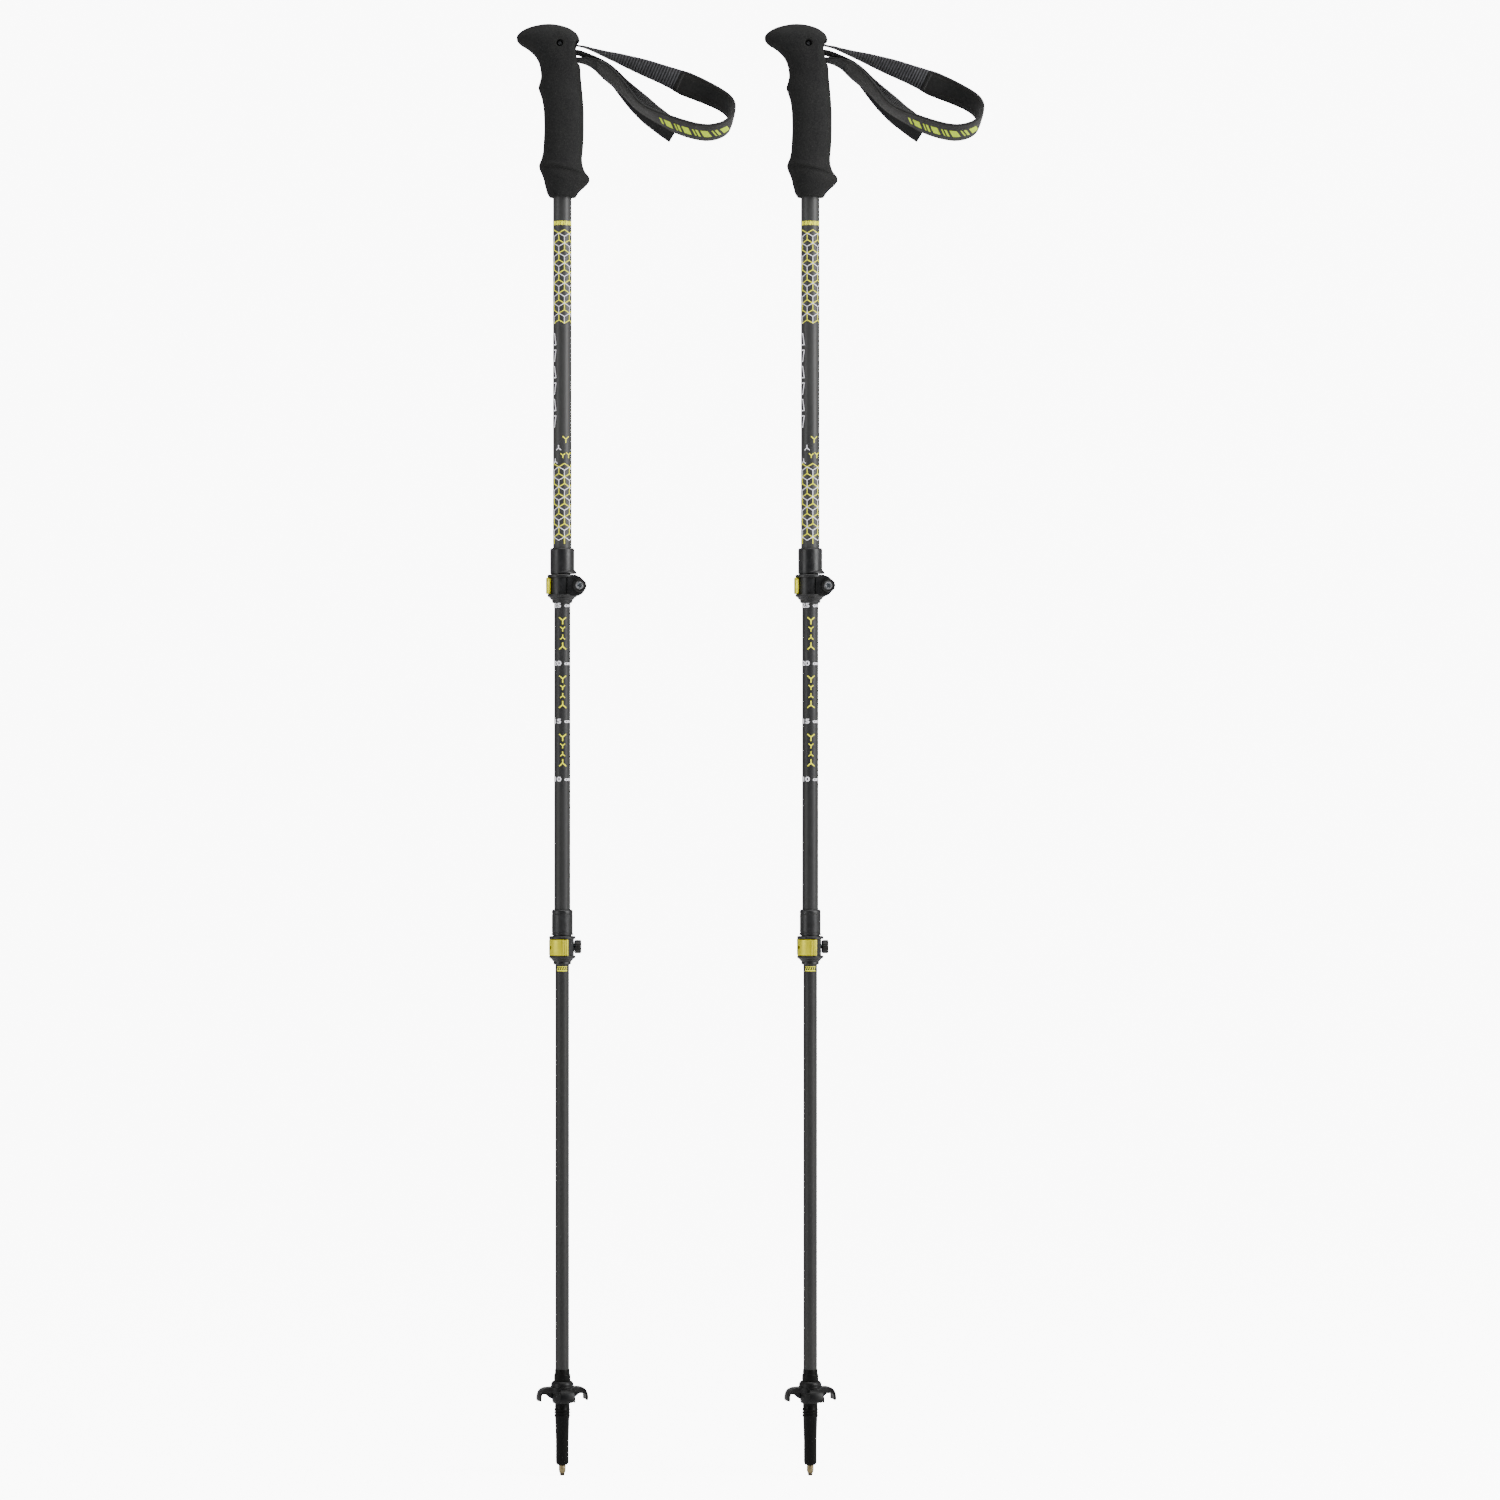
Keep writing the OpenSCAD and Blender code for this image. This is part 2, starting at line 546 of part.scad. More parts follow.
ferrule_r = 2.5;
hub_bore_r = 7.35;
petals = 4;
petal_turn = 15;
petal_pitch = 360 / petals;
tooth_pitch = 9; // degrees

flex_profile = [
    [ferrule_r + tiny, 9.6], [4.5, 9.6], [foot_r - 0.3, 10.9], [foot_r, 12.2], [foot_r, 30],
    [foot_r + 0.2, 37], [6.25, 50.6], [6.7, 51.3],
    // three ridges
    [6.85, 51.6], [6.85, 52.9], [6.35, 53.2], [6.35, 53.8], [6.85, 54.1], [6.85, 55.3],
    [6.35, 55.6], [6.35, 56.2], [6.85, 56.5], [6.85, 57.8], [6.4, 58.5], [6.4, 62.2],
    // barrel inside the basket, with three rings
    [6.9, 62.6], [6.9, 65.6], [7.3, 66.1], [7.3, 66.9], [6.9, 67.4], [6.9, 70.4], [7.3, 70.9],
    [7.3, 71.7], [6.9, 72.2], [6.9, 75.2], [7.3, 75.7], [7.3, 76.5], [6.9, 77], [6.9, 82.2],
    // collar above the basket
    [7.1, 82.2], [7.2, 84], [7.1, 87.3], [6.9, 87.8], [6.5, 88], [6.4, 91.6], [6.2, 92.1],
    // socket for the shaft, hollow and bore for the ferrule
    [6 + tiny, 92.1], [6 + tiny, lower_bottom - tiny], [4.2, lower_bottom - tiny],
    [4.2, 31], [ferrule_r + tiny, 31]
];
ferrule_profile = [
    [1.52, 2.6], [2.5, 2.6], [2.95, 4.4], [3.05, 5], [3.05, 9.1], [2.7, 9.55],
    [ferrule_r, 9.55], [ferrule_r, 30], [0, 30], [0, 9], [1.52, 9]
];
carbide_profile = [[0, 0], [1.2, 0], [2.1, 0.9], [2.1, 2.55], [1.5, 2.55], [1.5, 8.8], [0, 8.8]];

// Hub: bowl below, two grooves, dome on top
hub_profile = [
    [hub_bore_r, 62.8], [7.9, 62.8], [8.6, 64.4], [9.2, 67.6], [9.6, 71.4], [9.6, 72.5],
    [9.15, 72.9], [9.15, 73.7], [9.7, 74.1], [9.7, 75.4], [9.15, 75.8], [9.15, 76.5],
    [9.8, 76.9], [9.8, 79.2], [9.4, 80.4], [8.6, 81.5], [7.8, 82.1], [hub_bore_r, 82.1]
];
dish_profile = [
    [9, 76.3], [12, 76.9], [15.4, 76.8], [18.6, 75.8], [basket_r - 1.7, 73.8],
    [basket_r - 0.5, 71], [basket_r, 67.6], [basket_r - 0.1, 66], [basket_r - 0.9, 65.2],
    [basket_r - 2.2, 65.2], [basket_r - 2.4, 69.2], [basket_r - 3.6, 71.6],
    [16.4, 72.9], [13, 72.7], [9, 71.4]
];
rib_outline = [
    [8.6, 67], [8.6, 74], [20.5, 72.5], [20.9, 68.2], [19.4, 70.6], [15, 70.6], [10.5, 67]
];

module flex_tip() color([0.09, 0.09, 0.09]) rotate_extrude() polygon(flex_profile);
module tip_ferrule() color([0.72, 0.66, 0.52]) rotate_extrude() polygon(ferrule_profile);
module carbide_tip() color([0.45, 0.42, 0.38]) rotate_extrude() polygon(carbide_profile);

// Dish cut into arched petals
module petal_dish() difference() {
    rotate_extrude() polygon(dish_profile);
    for (k = [0 : petals - 1]) rotate([0, 0, (k + 0.5) * petal_pitch]) {
        translate([22, 0, 50]) cylinder(h = 40, r = petal_gap_r);
        translate([22, -petal_gap_r, 50]) cube([20, 2 * petal_gap_r, 40]);
    }
    // teeth along each petal's rim
    for (k = [0 : petals - 1], j = [-1.5 : 1 : 1.5])
        rotate([0, 0, petal_pitch * k + tooth_pitch * j])
            translate([15, 0, 64.9]) rotate([0, 90, 0]) cylinder(h = 12, r = 1.05);
}

// Small four-petal basket that screws on the tip
module basket() color([0.1, 0.1, 0.11]) difference() {
    union() {
        rotate_extrude() polygon(hub_profile);
        rotate([0, 0, petal_turn]) petal_dish();
        // ribs under each petal
        rotate([0, 0, petal_turn]) for (k = [0 : petals - 1])
            rotate([0, 0, petal_pitch * k]) in_xz(-0.8, 0.8) polygon(rib_outline);
    }
    translate([0, 0, 50]) cylinder(h = 40, r = hub_bore_r);
}

// ---------- both poles ----------

module left() children();
module right() translate([pole_gap, 0, 0]) children();

left() upper_shaft();  // left_upper_shaft
left() grip();  // left_grip
left() grip_core();  // left_grip_core
left() strap_pin();  // left_strap_pin
left() strap_wedge();  // left_strap_wedge
left() strap_anchor();  // left_strap_anchor
left() strap_webbing();  // left_strap_webbing
left() strap_pad();  // left_strap_pad
left() upper_clamp_body();  // left_upper_clamp_body
left() upper_clamp_bushing();  // left_upper_clamp_bushing
left() upper_thrust_pad();  // left_upper_thrust_pad
left() upper_barrel_nut();  // left_upper_barrel_nut
left() upper_lever();  // left_upper_lever
left() upper_tension_screw();  // left_upper_tension_screw
left() upper_screw_knob();  // left_upper_screw_knob
left() middle_shaft();  // left_middle_shaft
left() middle_guide();  // left_middle_guide
left() lower_clamp_body();  // left_lower_clamp_body
left() lower_clamp_bushing();  // left_lower_clamp_bushing
left() lower_thrust_pad();  // left_lower_thrust_pad
left() lower_barrel_nut();  // left_lower_barrel_nut
left() lower_lever();  // left_lower_lever
left() lower_tension_screw();  // left_lower_tension_screw
left() lower_screw_knob();  // left_lower_screw_knob
left() lower_shaft();  // left_lower_shaft
left() lower_guide();  // left_lower_guide
left() flex_tip();  // left_flex_tip
left() tip_ferrule();  // left_tip_ferrule
left() carbide_tip();  // left_carbide_tip
left() basket();  // left_basket
right() upper_shaft();  // right_upper_shaft
right() grip();  // right_grip
right() grip_core();  // right_grip_core
right() strap_pin();  // right_strap_pin
right() strap_wedge();  // right_strap_wedge
right() strap_anchor();  // right_strap_anchor
right() strap_webbing();  // right_strap_webbing
right() strap_pad();  // right_strap_pad
right() upper_clamp_body();  // right_upper_clamp_body
right() upper_clamp_bushing();  // right_upper_clamp_bushing
right() upper_thrust_pad();  // right_upper_thrust_pad
right() upper_barrel_nut();  // right_upper_barrel_nut
right() upper_lever();  // right_upper_lever
right() upper_tension_screw();  // right_upper_tension_screw
right() upper_screw_knob();  // right_upper_screw_knob
right() middle_shaft();  // right_middle_shaft
right() middle_guide();  // right_middle_guide
right() lower_clamp_body();  // right_lower_clamp_body
right() lower_clamp_bushing();  // right_lower_clamp_bushing
right() lower_thrust_pad();  // right_lower_thrust_pad
right() lower_barrel_nut();  // right_lower_barrel_nut
right() lower_lever();  // right_lower_lever
right() lower_tension_screw();  // right_lower_tension_screw
right() lower_screw_knob();  // right_lower_screw_knob
right() lower_shaft();  // right_lower_shaft
right() lower_guide();  // right_lower_guide
right() flex_tip();  // right_flex_tip
right() tip_ferrule();  // right_tip_ferrule
right() carbide_tip();  // right_carbide_tip
right() basket();  // right_basket
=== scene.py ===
"""A pair of trekking poles, standing upright side by side.

Lengths are millimetres in the left pole's frame unless a comment says metres. z runs up the
pole's axis from the tip, the front faces -y, and the wrist strap leaves the grip towards +x.
The right pole is the left one moved along +x. Objects are stored in metres.
"""
import math
from typing import NamedTuple

import bpy
import bmesh
import numpy as np
from mathutils import Matrix, Vector


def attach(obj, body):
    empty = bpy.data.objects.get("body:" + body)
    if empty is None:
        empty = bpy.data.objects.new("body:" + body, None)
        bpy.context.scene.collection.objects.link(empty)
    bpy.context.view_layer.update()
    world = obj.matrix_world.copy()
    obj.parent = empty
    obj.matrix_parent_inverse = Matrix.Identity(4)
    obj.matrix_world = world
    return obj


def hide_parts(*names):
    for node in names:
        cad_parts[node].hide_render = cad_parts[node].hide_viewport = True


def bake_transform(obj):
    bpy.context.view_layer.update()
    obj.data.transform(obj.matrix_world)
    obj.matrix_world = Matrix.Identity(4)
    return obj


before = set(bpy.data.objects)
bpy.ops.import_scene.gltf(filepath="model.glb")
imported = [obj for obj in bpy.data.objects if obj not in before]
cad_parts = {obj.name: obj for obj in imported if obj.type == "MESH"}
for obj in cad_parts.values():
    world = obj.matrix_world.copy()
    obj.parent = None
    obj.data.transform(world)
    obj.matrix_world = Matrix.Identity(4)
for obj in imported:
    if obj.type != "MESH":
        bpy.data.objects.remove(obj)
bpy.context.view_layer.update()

MM = 0.001  # metres in a millimetre
POLE_GAP = 214.5  # between the two poles' axes
TUBE_R = {"upper": 8.0, "middle": 7.0, "lower": 6.0}
UP = (0, 0, 1)


# ---------------------------------------------------------------- shader helpers

def rgb(red, green, blue):
    return (red, green, blue, 1.0)


def srgb(*channels):
    """A linear colour from sRGB channels of 0 to 255."""
    def linear(c):
        c /= 255.0
        return c / 12.92 if c <= 0.04045 else ((c + 0.055) / 1.055) ** 2.4
    return rgb(*map(linear, channels))


def scaled(colour, factor):
    return rgb(*(factor * c for c in colour[:3]))


class Graph:
    """Adds nodes to a shader tree. Inputs are sockets to link or plain values."""

    def __init__(self, tree):
        self.tree = tree

    def put(self, socket, value):
        if isinstance(value, bpy.types.NodeSocket):
            self.tree.links.new(value, socket)
        else:
            socket.default_value = value

    def add(self, kind, inputs=None, **settings):
        node = self.tree.nodes.new(kind)
        for key, value in settings.items():
            setattr(node, key, value)
        for key, value in (inputs or {}).items():
            self.put(node.inputs[key], value)
        return node

    def math(self, operation, *values):
        return self.add("ShaderNodeMath", dict(enumerate(values)), operation=operation).outputs[0]

    def times(self, a, b):
        return self.math("MULTIPLY", a, b)

    def plus(self, a, b):
        return self.math("ADD", a, b)

    def ramp(self, value, over=(0.3, 0.7), to=(0, 1), **settings):
        """Maps one range to another. Most of a noise's values lie in the default range."""
        inputs = dict(enumerate((value, *over, *to)))
        return self.add("ShaderNodeMapRange", inputs, **settings).outputs[0]

    def xyz(self, vector):
        return self.add("ShaderNodeSeparateXYZ", {0: vector}).outputs


SOCKETS = {
    "color": "Base Color", "rough": "Roughness", "metal": "Metallic", "normal": "Normal",
    "spec": "Specular IOR Level", "coat": "Coat Weight", "coat_rough": "Coat Roughness",
    "sheen": "Sheen Weight", "sheen_rough": "Sheen Roughness", "aniso": "Anisotropic",
    "emit": "Emission Color", "emit_w": "Emission Strength",
}


class Look(Graph):
    """A material on a Principled shader, textured in object space.

    Texture scales are per metre, so 1000 is about one feature a millimetre. Edge radii,
    reaches of the painted hollow shade and bump depths are in metres.
    """

    def __init__(self, name):
        self.material = bpy.data.materials.new(name)
        self.material.use_nodes = True
        super().__init__(self.material.node_tree)
        self.tree.nodes.clear()
        output = self.add("ShaderNodeOutputMaterial")
        self.shader = self.add("ShaderNodeBsdfPrincipled")
        self.put(output.inputs[0], self.shader.outputs[0])
        self.places = self.add("ShaderNodeTexCoord").outputs

    def place(self, stretch):
        place = self.places["Object"]
        if stretch is None:
            return place
        scaling = self.add("ShaderNodeVectorMath", {0: place, 1: stretch}, operation="MULTIPLY")
        return scaling.outputs[0]

    def noise(self, scale, detail, rough=0.55, distort=0.0, stretch=None):
        return self.add("ShaderNodeTexNoise", {
            "Vector": self.place(stretch), "Scale": scale, "Detail": detail,
            "Roughness": rough, "Distortion": distort,
        }).outputs[0]

    def cells(self, scale, stretch=None):
        inputs = {"Vector": self.place(stretch), "Scale": scale}
        return self.add("ShaderNodeTexVoronoi", inputs).outputs[0]

    def mix(self, mask, under, over):
        inputs = {0: mask, 6: under, 7: over}
        return self.add("ShaderNodeMix", inputs, data_type="RGBA").outputs[2]

    def mottle(self, noise, one, other):
        """Drifts between two colours with a noise."""
        return self.mix(self.ramp(noise), one, other)

    def stain(self, under, tint, mask, weight):
        return self.mix(self.times(mask, weight), under, tint)

    def bevel(self, radius):
        return self.add("ShaderNodeBevel", {"Radius": radius}, samples=6).outputs[0]

    def edges(self, radius, over=(0.02, 0.25)):
        """1 along edges, 0 on the flat, from how far a rounded normal leans off the true one."""
        true = self.add("ShaderNodeNewGeometry").outputs["Normal"]
        inputs = {0: self.bevel(radius), 1: true}
        dot = self.add("ShaderNodeVectorMath", inputs, operation="DOT_PRODUCT")
        return self.ramp(self.math("SUBTRACT", 1.0, dot.outputs["Value"]), over=over)

    def hollow_shade(self, reach, over=(0.35, 0.95)):
        """Mask for painted shade: 1 deep in corners and sockets, 0 on open surfaces."""
        node = self.add("ShaderNodeAmbientOcclusion", {"Distance": reach}, samples=6)
        return self.ramp(node.outputs["AO"], over=over, to=(1, 0))

    def bump(self, height, depth, strength, normal=None):
        inputs = {"Height": height, "Distance": depth, "Strength": strength}
        if normal is not None:
            inputs["Normal"] = normal
        return self.add("ShaderNodeBump", inputs).outputs[0]

    def finish(self, **values):
        for key, value in values.items():
            self.put(self.shader.inputs[SOCKETS[key]], value)
        return self.material


# ---------------------------------------------------------------- materials

def foam():
    m = Look("grip foam")
    tone = m.noise(scale=90, detail=4)
    fine = m.noise(scale=1500, detail=3)
    pores = m.cells(scale=1100)
    colour = m.mottle(tone, srgb(20, 20, 21), srgb(23, 23, 23))
    colour = m.mix(m.ramp(fine, over=(0.4, 0.72), to=(0, 0.75)), colour, srgb(44, 44, 43))
    colour = m.mix(m.ramp(pores, over=(0.0, 0.3), to=(0.6, 0)), colour, srgb(9, 9, 9))
    patches = m.ramp(m.noise(scale=400, detail=3), over=(0.35, 0.65), to=(0.15, 0.8))
    wear = m.times(m.edges(radius=0.0012, over=(0.01, 0.12)), patches)
    colour = m.stain(colour, srgb(58, 57, 55), wear, weight=0.5)
    # painted shade: the foam goes near black in corners and recesses
    colour = m.stain(colour, rgb(0.001, 0.001, 0.001), m.hollow_shade(reach=0.004), weight=0.7)
    pits = m.ramp(pores, over=(0.0, 0.55))
    height = m.plus(m.times(fine, 0.5), m.times(pits, 0.6))
    broad = m.bump(m.noise(scale=300, detail=3), depth=0.00025, strength=0.35)
    return m.finish(color=colour, rough=m.ramp(tone, to=(0.86, 0.76)), spec=0.16,
                    normal=m.bump(height, depth=0.00014, strength=0.7, normal=broad))


def nylon(name, dark, light, grain=1700, depth=0.00006, wear=0.35, edge=0.00035, spec=0.36):
    """Moulded plastic: grainy, scuffed, paler along worn edges."""
    m = Look(name)
    tone = m.noise(scale=160, detail=4)
    pebbles = m.cells(scale=grain)
    fine = m.noise(scale=grain * 2.2, detail=2)
    colour = m.mottle(tone, dark, light)
    patches = m.ramp(m.noise(scale=900, detail=3), over=(0.35, 0.65), to=(0.1, 1.0))
    worn = m.times(m.edges(edge), patches)
    scuff = m.noise(scale=60, detail=6, rough=0.7, stretch=(1, 1, 6))
    scuff = m.ramp(scuff, over=(0.60, 0.72), to=(0, 0.5))
    colour = m.stain(colour, srgb(96, 95, 94), worn, weight=wear)
    colour = m.stain(colour, srgb(70, 69, 66), scuff, weight=0.15)
    # painted shade: the plastic goes near black in corners and sockets
    colour = m.stain(colour, rgb(0.0008, 0.0008, 0.0008), m.hollow_shade(reach=0.003), weight=0.8)
    rough = m.plus(m.ramp(tone, to=(0.34, 0.46)), m.times(scuff, 0.2))
    height = m.plus(m.times(pebbles, 0.6), m.times(fine, 0.4))
    return m.finish(color=colour, rough=rough, spec=spec,
                    normal=m.bump(height, depth, strength=0.5, normal=m.bevel(edge * 0.8)))


def tube(name, dark, light):
    """Painted tube with metal flake, lengthwise lines and scratches."""
    m = Look(name)
    tone = m.noise(scale=30, detail=5, rough=0.6, stretch=(1, 1, 0.35))
    flake = m.noise(scale=6500, detail=1)
    lines = m.noise(scale=1400, detail=3, rough=0.6, stretch=(1, 1, 0.012))
    scratch = m.noise(scale=500, detail=5, rough=0.8, distort=0.6, stretch=(1, 1, 0.06))
    scratch = m.ramp(scratch, over=(0.66, 0.70))
    colour = m.mottle(tone, dark, light)
    colour = m.mix(m.ramp(flake, over=(0.58, 0.85), to=(0, 0.22)), colour, rgb(0.2, 0.2, 0.21))
    colour = m.stain(colour, rgb(0.3, 0.3, 0.29), scratch, weight=0.12)
    rough = m.plus(m.ramp(tone, to=(0.42, 0.52)), m.times(lines, 0.08))
    height = m.plus(lines, m.times(flake, 0.35))
    return m.finish(color=colour, rough=rough, metal=0.25, spec=0.36, coat=0.1, coat_rough=0.3,
                    normal=m.bump(height, depth=0.00002, strength=0.35, normal=m.bevel(0.0002)))


def steel(name, base):
    m = Look(name)
    tone = m.noise(scale=500, detail=4)
    lines = m.noise(scale=2500, detail=3, stretch=(1, 0.05, 1))
    colour = m.mottle(tone, base, scaled(base, 0.8))
    # painted highlight: edges are lighter, like a lit chamfer
    colour = m.stain(colour, rgb(0.85, 0.85, 0.86), m.edges(radius=0.0002), weight=0.4)
    # painted shade: sockets and corners go a dark blue-grey
    shade = m.hollow_shade(reach=0.0035, over=(0.3, 0.8))
    colour = m.mix(shade, colour, rgb(0.17, 0.21, 0.25))
    return m.finish(color=colour, metal=0.95, rough=m.ramp(tone, to=(0.2, 0.34)), aniso=0.3,
                    normal=m.bump(lines, depth=0.00001, strength=0.3, normal=m.bevel(0.0002)))


def anodised():
    m = Look("lever anodised")
    tone = m.noise(scale=120, detail=4)
    brush = m.noise(scale=900, detail=4, rough=0.7, stretch=(0.06, 0.06, 3.2))
    fine = m.noise(scale=5200, detail=1)
    colour = m.mottle(tone, rgb(0.60, 0.55, 0.008), rgb(0.66, 0.60, 0.012))
    colour = m.mix(m.ramp(brush, to=(0, 0.3)), colour, rgb(0.76, 0.70, 0.03))
    patches = m.ramp(m.noise(scale=700, detail=3), over=(0.3, 0.6), to=(0.4, 1.0))
    worn = m.times(m.edges(radius=0.0004, over=(0.01, 0.2)), patches)
    colour = m.stain(colour, rgb(0.95, 0.90, 0.28), worn, weight=0.75)
    rough = m.plus(m.ramp(brush, to=(0.30, 0.42)), m.times(fine, 0.05))
    # painted shade: hollows of the lever go dark brown
    shade = m.hollow_shade(reach=0.003, over=(0.2, 0.8))
    colour = m.stain(colour, rgb(0.05, 0.035, 0.004), shade, weight=0.6)
    height = m.plus(brush, m.times(fine, 0.3))
    return m.finish(color=colour, metal=0.45, rough=rough, aniso=0.3, spec=0.25, coat=0.06,
                    coat_rough=0.2,
                    normal=m.bump(height, depth=0.00003, strength=0.4, normal=m.bevel(0.0003)))


def ferrule():
    m = Look("ferrule metal")
    tone = m.noise(scale=420, detail=5)
    turning = m.noise(scale=1800, detail=2, stretch=(0.05, 0.05, 1))
    colour = m.mottle(tone, srgb(112, 99, 70), srgb(150, 135, 100))
    dirt = m.ramp(m.noise(scale=300, detail=5, rough=0.7), over=(0.55, 0.72))
    colour = m.stain(colour, srgb(52, 45, 33), dirt, weight=0.6)
    # painted shade: hollows of the ferrule go near black
    shade = m.hollow_shade(reach=0.002, over=(0.2, 0.8))
    colour = m.stain(colour, srgb(20, 17, 12), shade, weight=0.8)
    return m.finish(color=colour, metal=0.9, rough=m.ramp(tone, to=(0.34, 0.52)),
                    normal=m.bump(m.plus(turning, tone), depth=0.00003, strength=0.5,
                                  normal=m.bevel(0.00025)))


def carbide():
    m = Look("carbide")
    tone = m.noise(scale=900, detail=5)
    colour = m.mottle(tone, srgb(50, 46, 40), srgb(92, 84, 70))
    return m.finish(color=colour, metal=0.95, rough=m.ramp(tone, to=(0.3, 0.55)),
                    normal=m.bump(m.cells(scale=2600), depth=0.00004, strength=0.6,
                                  normal=m.bevel(0.0002)))


def woven(name, dark, light, ends, picks, depth=0.0001, rib=0.0, rib_shade=0.92):
    """Plain weave on a UV map that holds the band's length and width in centimetres.

    ends and picks are yarns per centimetre of width and length; rib is the pitch of the
    cross ribs in millimetres.
    """
    m = Look(name)
    x, y, _ = m.xyz(m.places["UV"])
    weft = m.math("SINE", m.times(x, math.pi * picks))
    warp = m.math("SINE", m.times(y, math.pi * ends))
    over = m.times(weft, warp)
    yarn = m.plus(m.times(m.math("ABSOLUTE", weft), 0.5), m.times(m.math("ABSOLUTE", warp), 0.5))
    height = m.plus(yarn, m.times(over, 0.35))
    tone = m.noise(scale=120, detail=4)
    fuzz = m.noise(scale=7000, detail=2)
    colour = m.mix(m.ramp(height, over=(0.1, 1.1)), dark, light)
    colour = m.mix(m.ramp(tone, over=(0.3, 0.75), to=(0, 0.35)), colour, scaled(dark, 0.55))
    colour = m.mix(m.ramp(fuzz, over=(0.55, 0.8), to=(0, 0.3)), colour, light)
    if rib:  # shade in the valleys between the ribs
        ridge = m.math("ABSOLUTE", m.math("SINE", m.times(x, 10 * math.pi / rib)))
        valley = m.ramp(ridge, over=(0.25, 0.95), to=(rib_shade, 0.0))
        colour = m.mix(valley, colour, rgb(0.0012, 0.0012, 0.0012))
    normal = m.bump(m.plus(height, m.times(fuzz, 0.3)), depth, strength=0.7)
    return m.finish(color=colour, rough=m.ramp(tone, to=(0.72, 0.88)), spec=0.22, sheen=0.08,
                    sheen_rough=0.5, normal=normal)


def pad_lining():
    """Brushed knit: small cells, nap and sheen."""
    m = Look("pad lining")
    dark, light = srgb(20, 19, 19), srgb(34, 33, 32)
    tone = m.noise(scale=110, detail=4)
    knit = m.cells(scale=1900, stretch=(1, 1, 1.4))
    fuzz = m.noise(scale=6000, detail=2)
    colour = m.mix(m.ramp(knit, over=(0.1, 0.7)), light, dark)
    colour = m.mix(m.ramp(tone, to=(0, 0.4)), colour, scaled(dark, 0.6))
    height = m.plus(m.times(knit, -0.7), m.times(fuzz, 0.3))
    return m.finish(color=colour, rough=0.84, spec=0.2, sheen=0.1, sheen_rough=0.55,
                    normal=m.bump(height, depth=0.00008, strength=0.5))


def stitch_thread():
    m = Look("stitch thread")
    dark = srgb(34, 34, 34)
    twist = m.noise(scale=3500, detail=2)
    return m.finish(color=m.mottle(twist, dark, scaled(dark, 1.5)), rough=0.6, spec=0.4,
                    sheen=0.2, normal=m.bump(twist, depth=0.00005, strength=0.6))


def ink(name, tint, gaps=0.12, glow=0.3):
    """Screen print with slightly uneven cover that glows a little: painted light."""
    m = Look(name)
    worn = m.ramp(m.noise(scale=1400, detail=4, rough=0.7), over=(0.62, 0.72))
    tone = m.noise(scale=300, detail=3)
    colour = m.mottle(tone, tint, scaled(tint, 0.86))
    colour = m.stain(colour, rgb(0.08, 0.08, 0.08), worn, weight=gaps)
    # the print glows by glow times its colour, painted light that lifts it above its lighting
    return m.finish(color=colour, rough=m.ramp(tone, to=(0.48, 0.62)), spec=0.12, emit=colour,
                    emit_w=glow, normal=m.bump(m.noise(scale=5000, detail=1), depth=0.00001,
                                               strength=0.4))


LOOKS = {
    "upper_tube": tube("upper tube", srgb(47, 47, 47), srgb(55, 55, 55)),
    "middle_tube": tube("middle tube", srgb(33, 33, 34), srgb(40, 40, 40)),
    "lower_tube": tube("lower tube", srgb(29, 29, 29), srgb(36, 36, 35)),
    "grip_foam": foam(),
    "core_nylon": nylon("core nylon", srgb(12, 12, 13), srgb(18, 18, 19)),
    "clamp_nylon": nylon("clamp nylon", srgb(13, 13, 15), srgb(20, 20, 22), spec=0.42),
    "knob_nylon": nylon("knob nylon", srgb(9, 9, 9), srgb(14, 14, 14), grain=2200, wear=0.5),
    "acetal": nylon("acetal", srgb(16, 16, 16), srgb(24, 24, 24), grain=900, depth=0.00003),
    "steel": steel("steel", rgb(0.78, 0.79, 0.82)),
    "pin_steel": steel("pin steel", rgb(0.5, 0.5, 0.52)),
    "lever_alloy": anodised(),
    "webbing": woven("webbing weave", srgb(40, 40, 42), srgb(104, 104, 108), ends=16, picks=16,
                     depth=0.00012, rib=2.5),
    "webbing_fine": woven("fine webbing weave", srgb(78, 78, 79), srgb(140, 140, 141),
                          ends=16, picks=16, rib=1.65, rib_shade=0.6),
    "webbing_black": woven("tail weave", srgb(9, 9, 10), srgb(32, 32, 33), ends=18, picks=18),
    "pad_out": woven("pad outer cloth", srgb(24, 24, 24), srgb(62, 61, 60), ends=14, picks=14),
    "pad_in": pad_lining(),
    "binding": woven("binding tape", srgb(12, 12, 12), srgb(40, 40, 40), ends=12, picks=26),
    "thread": stitch_thread(),
    "tip_polymer": nylon("tip polymer", srgb(4, 4, 4), srgb(8, 8, 7), grain=1300, wear=0.12,
                         spec=0.1),
    "basket_polymer": nylon("basket polymer", srgb(8, 8, 9), srgb(14, 14, 15), grain=1500,
                            wear=0.2, spec=0.22),
    "ferrule_metal": ferrule(),
    "carbide": carbide(),
    "print_yellow": ink("print yellow", rgb(0.88, 0.87, 0.03)),
    "print_white": ink("print white", rgb(0.88, 0.87, 0.92)),
    "print_lime": ink("print lime", rgb(0.50, 0.68, 0.02), gaps=0.15, glow=0.12),
}

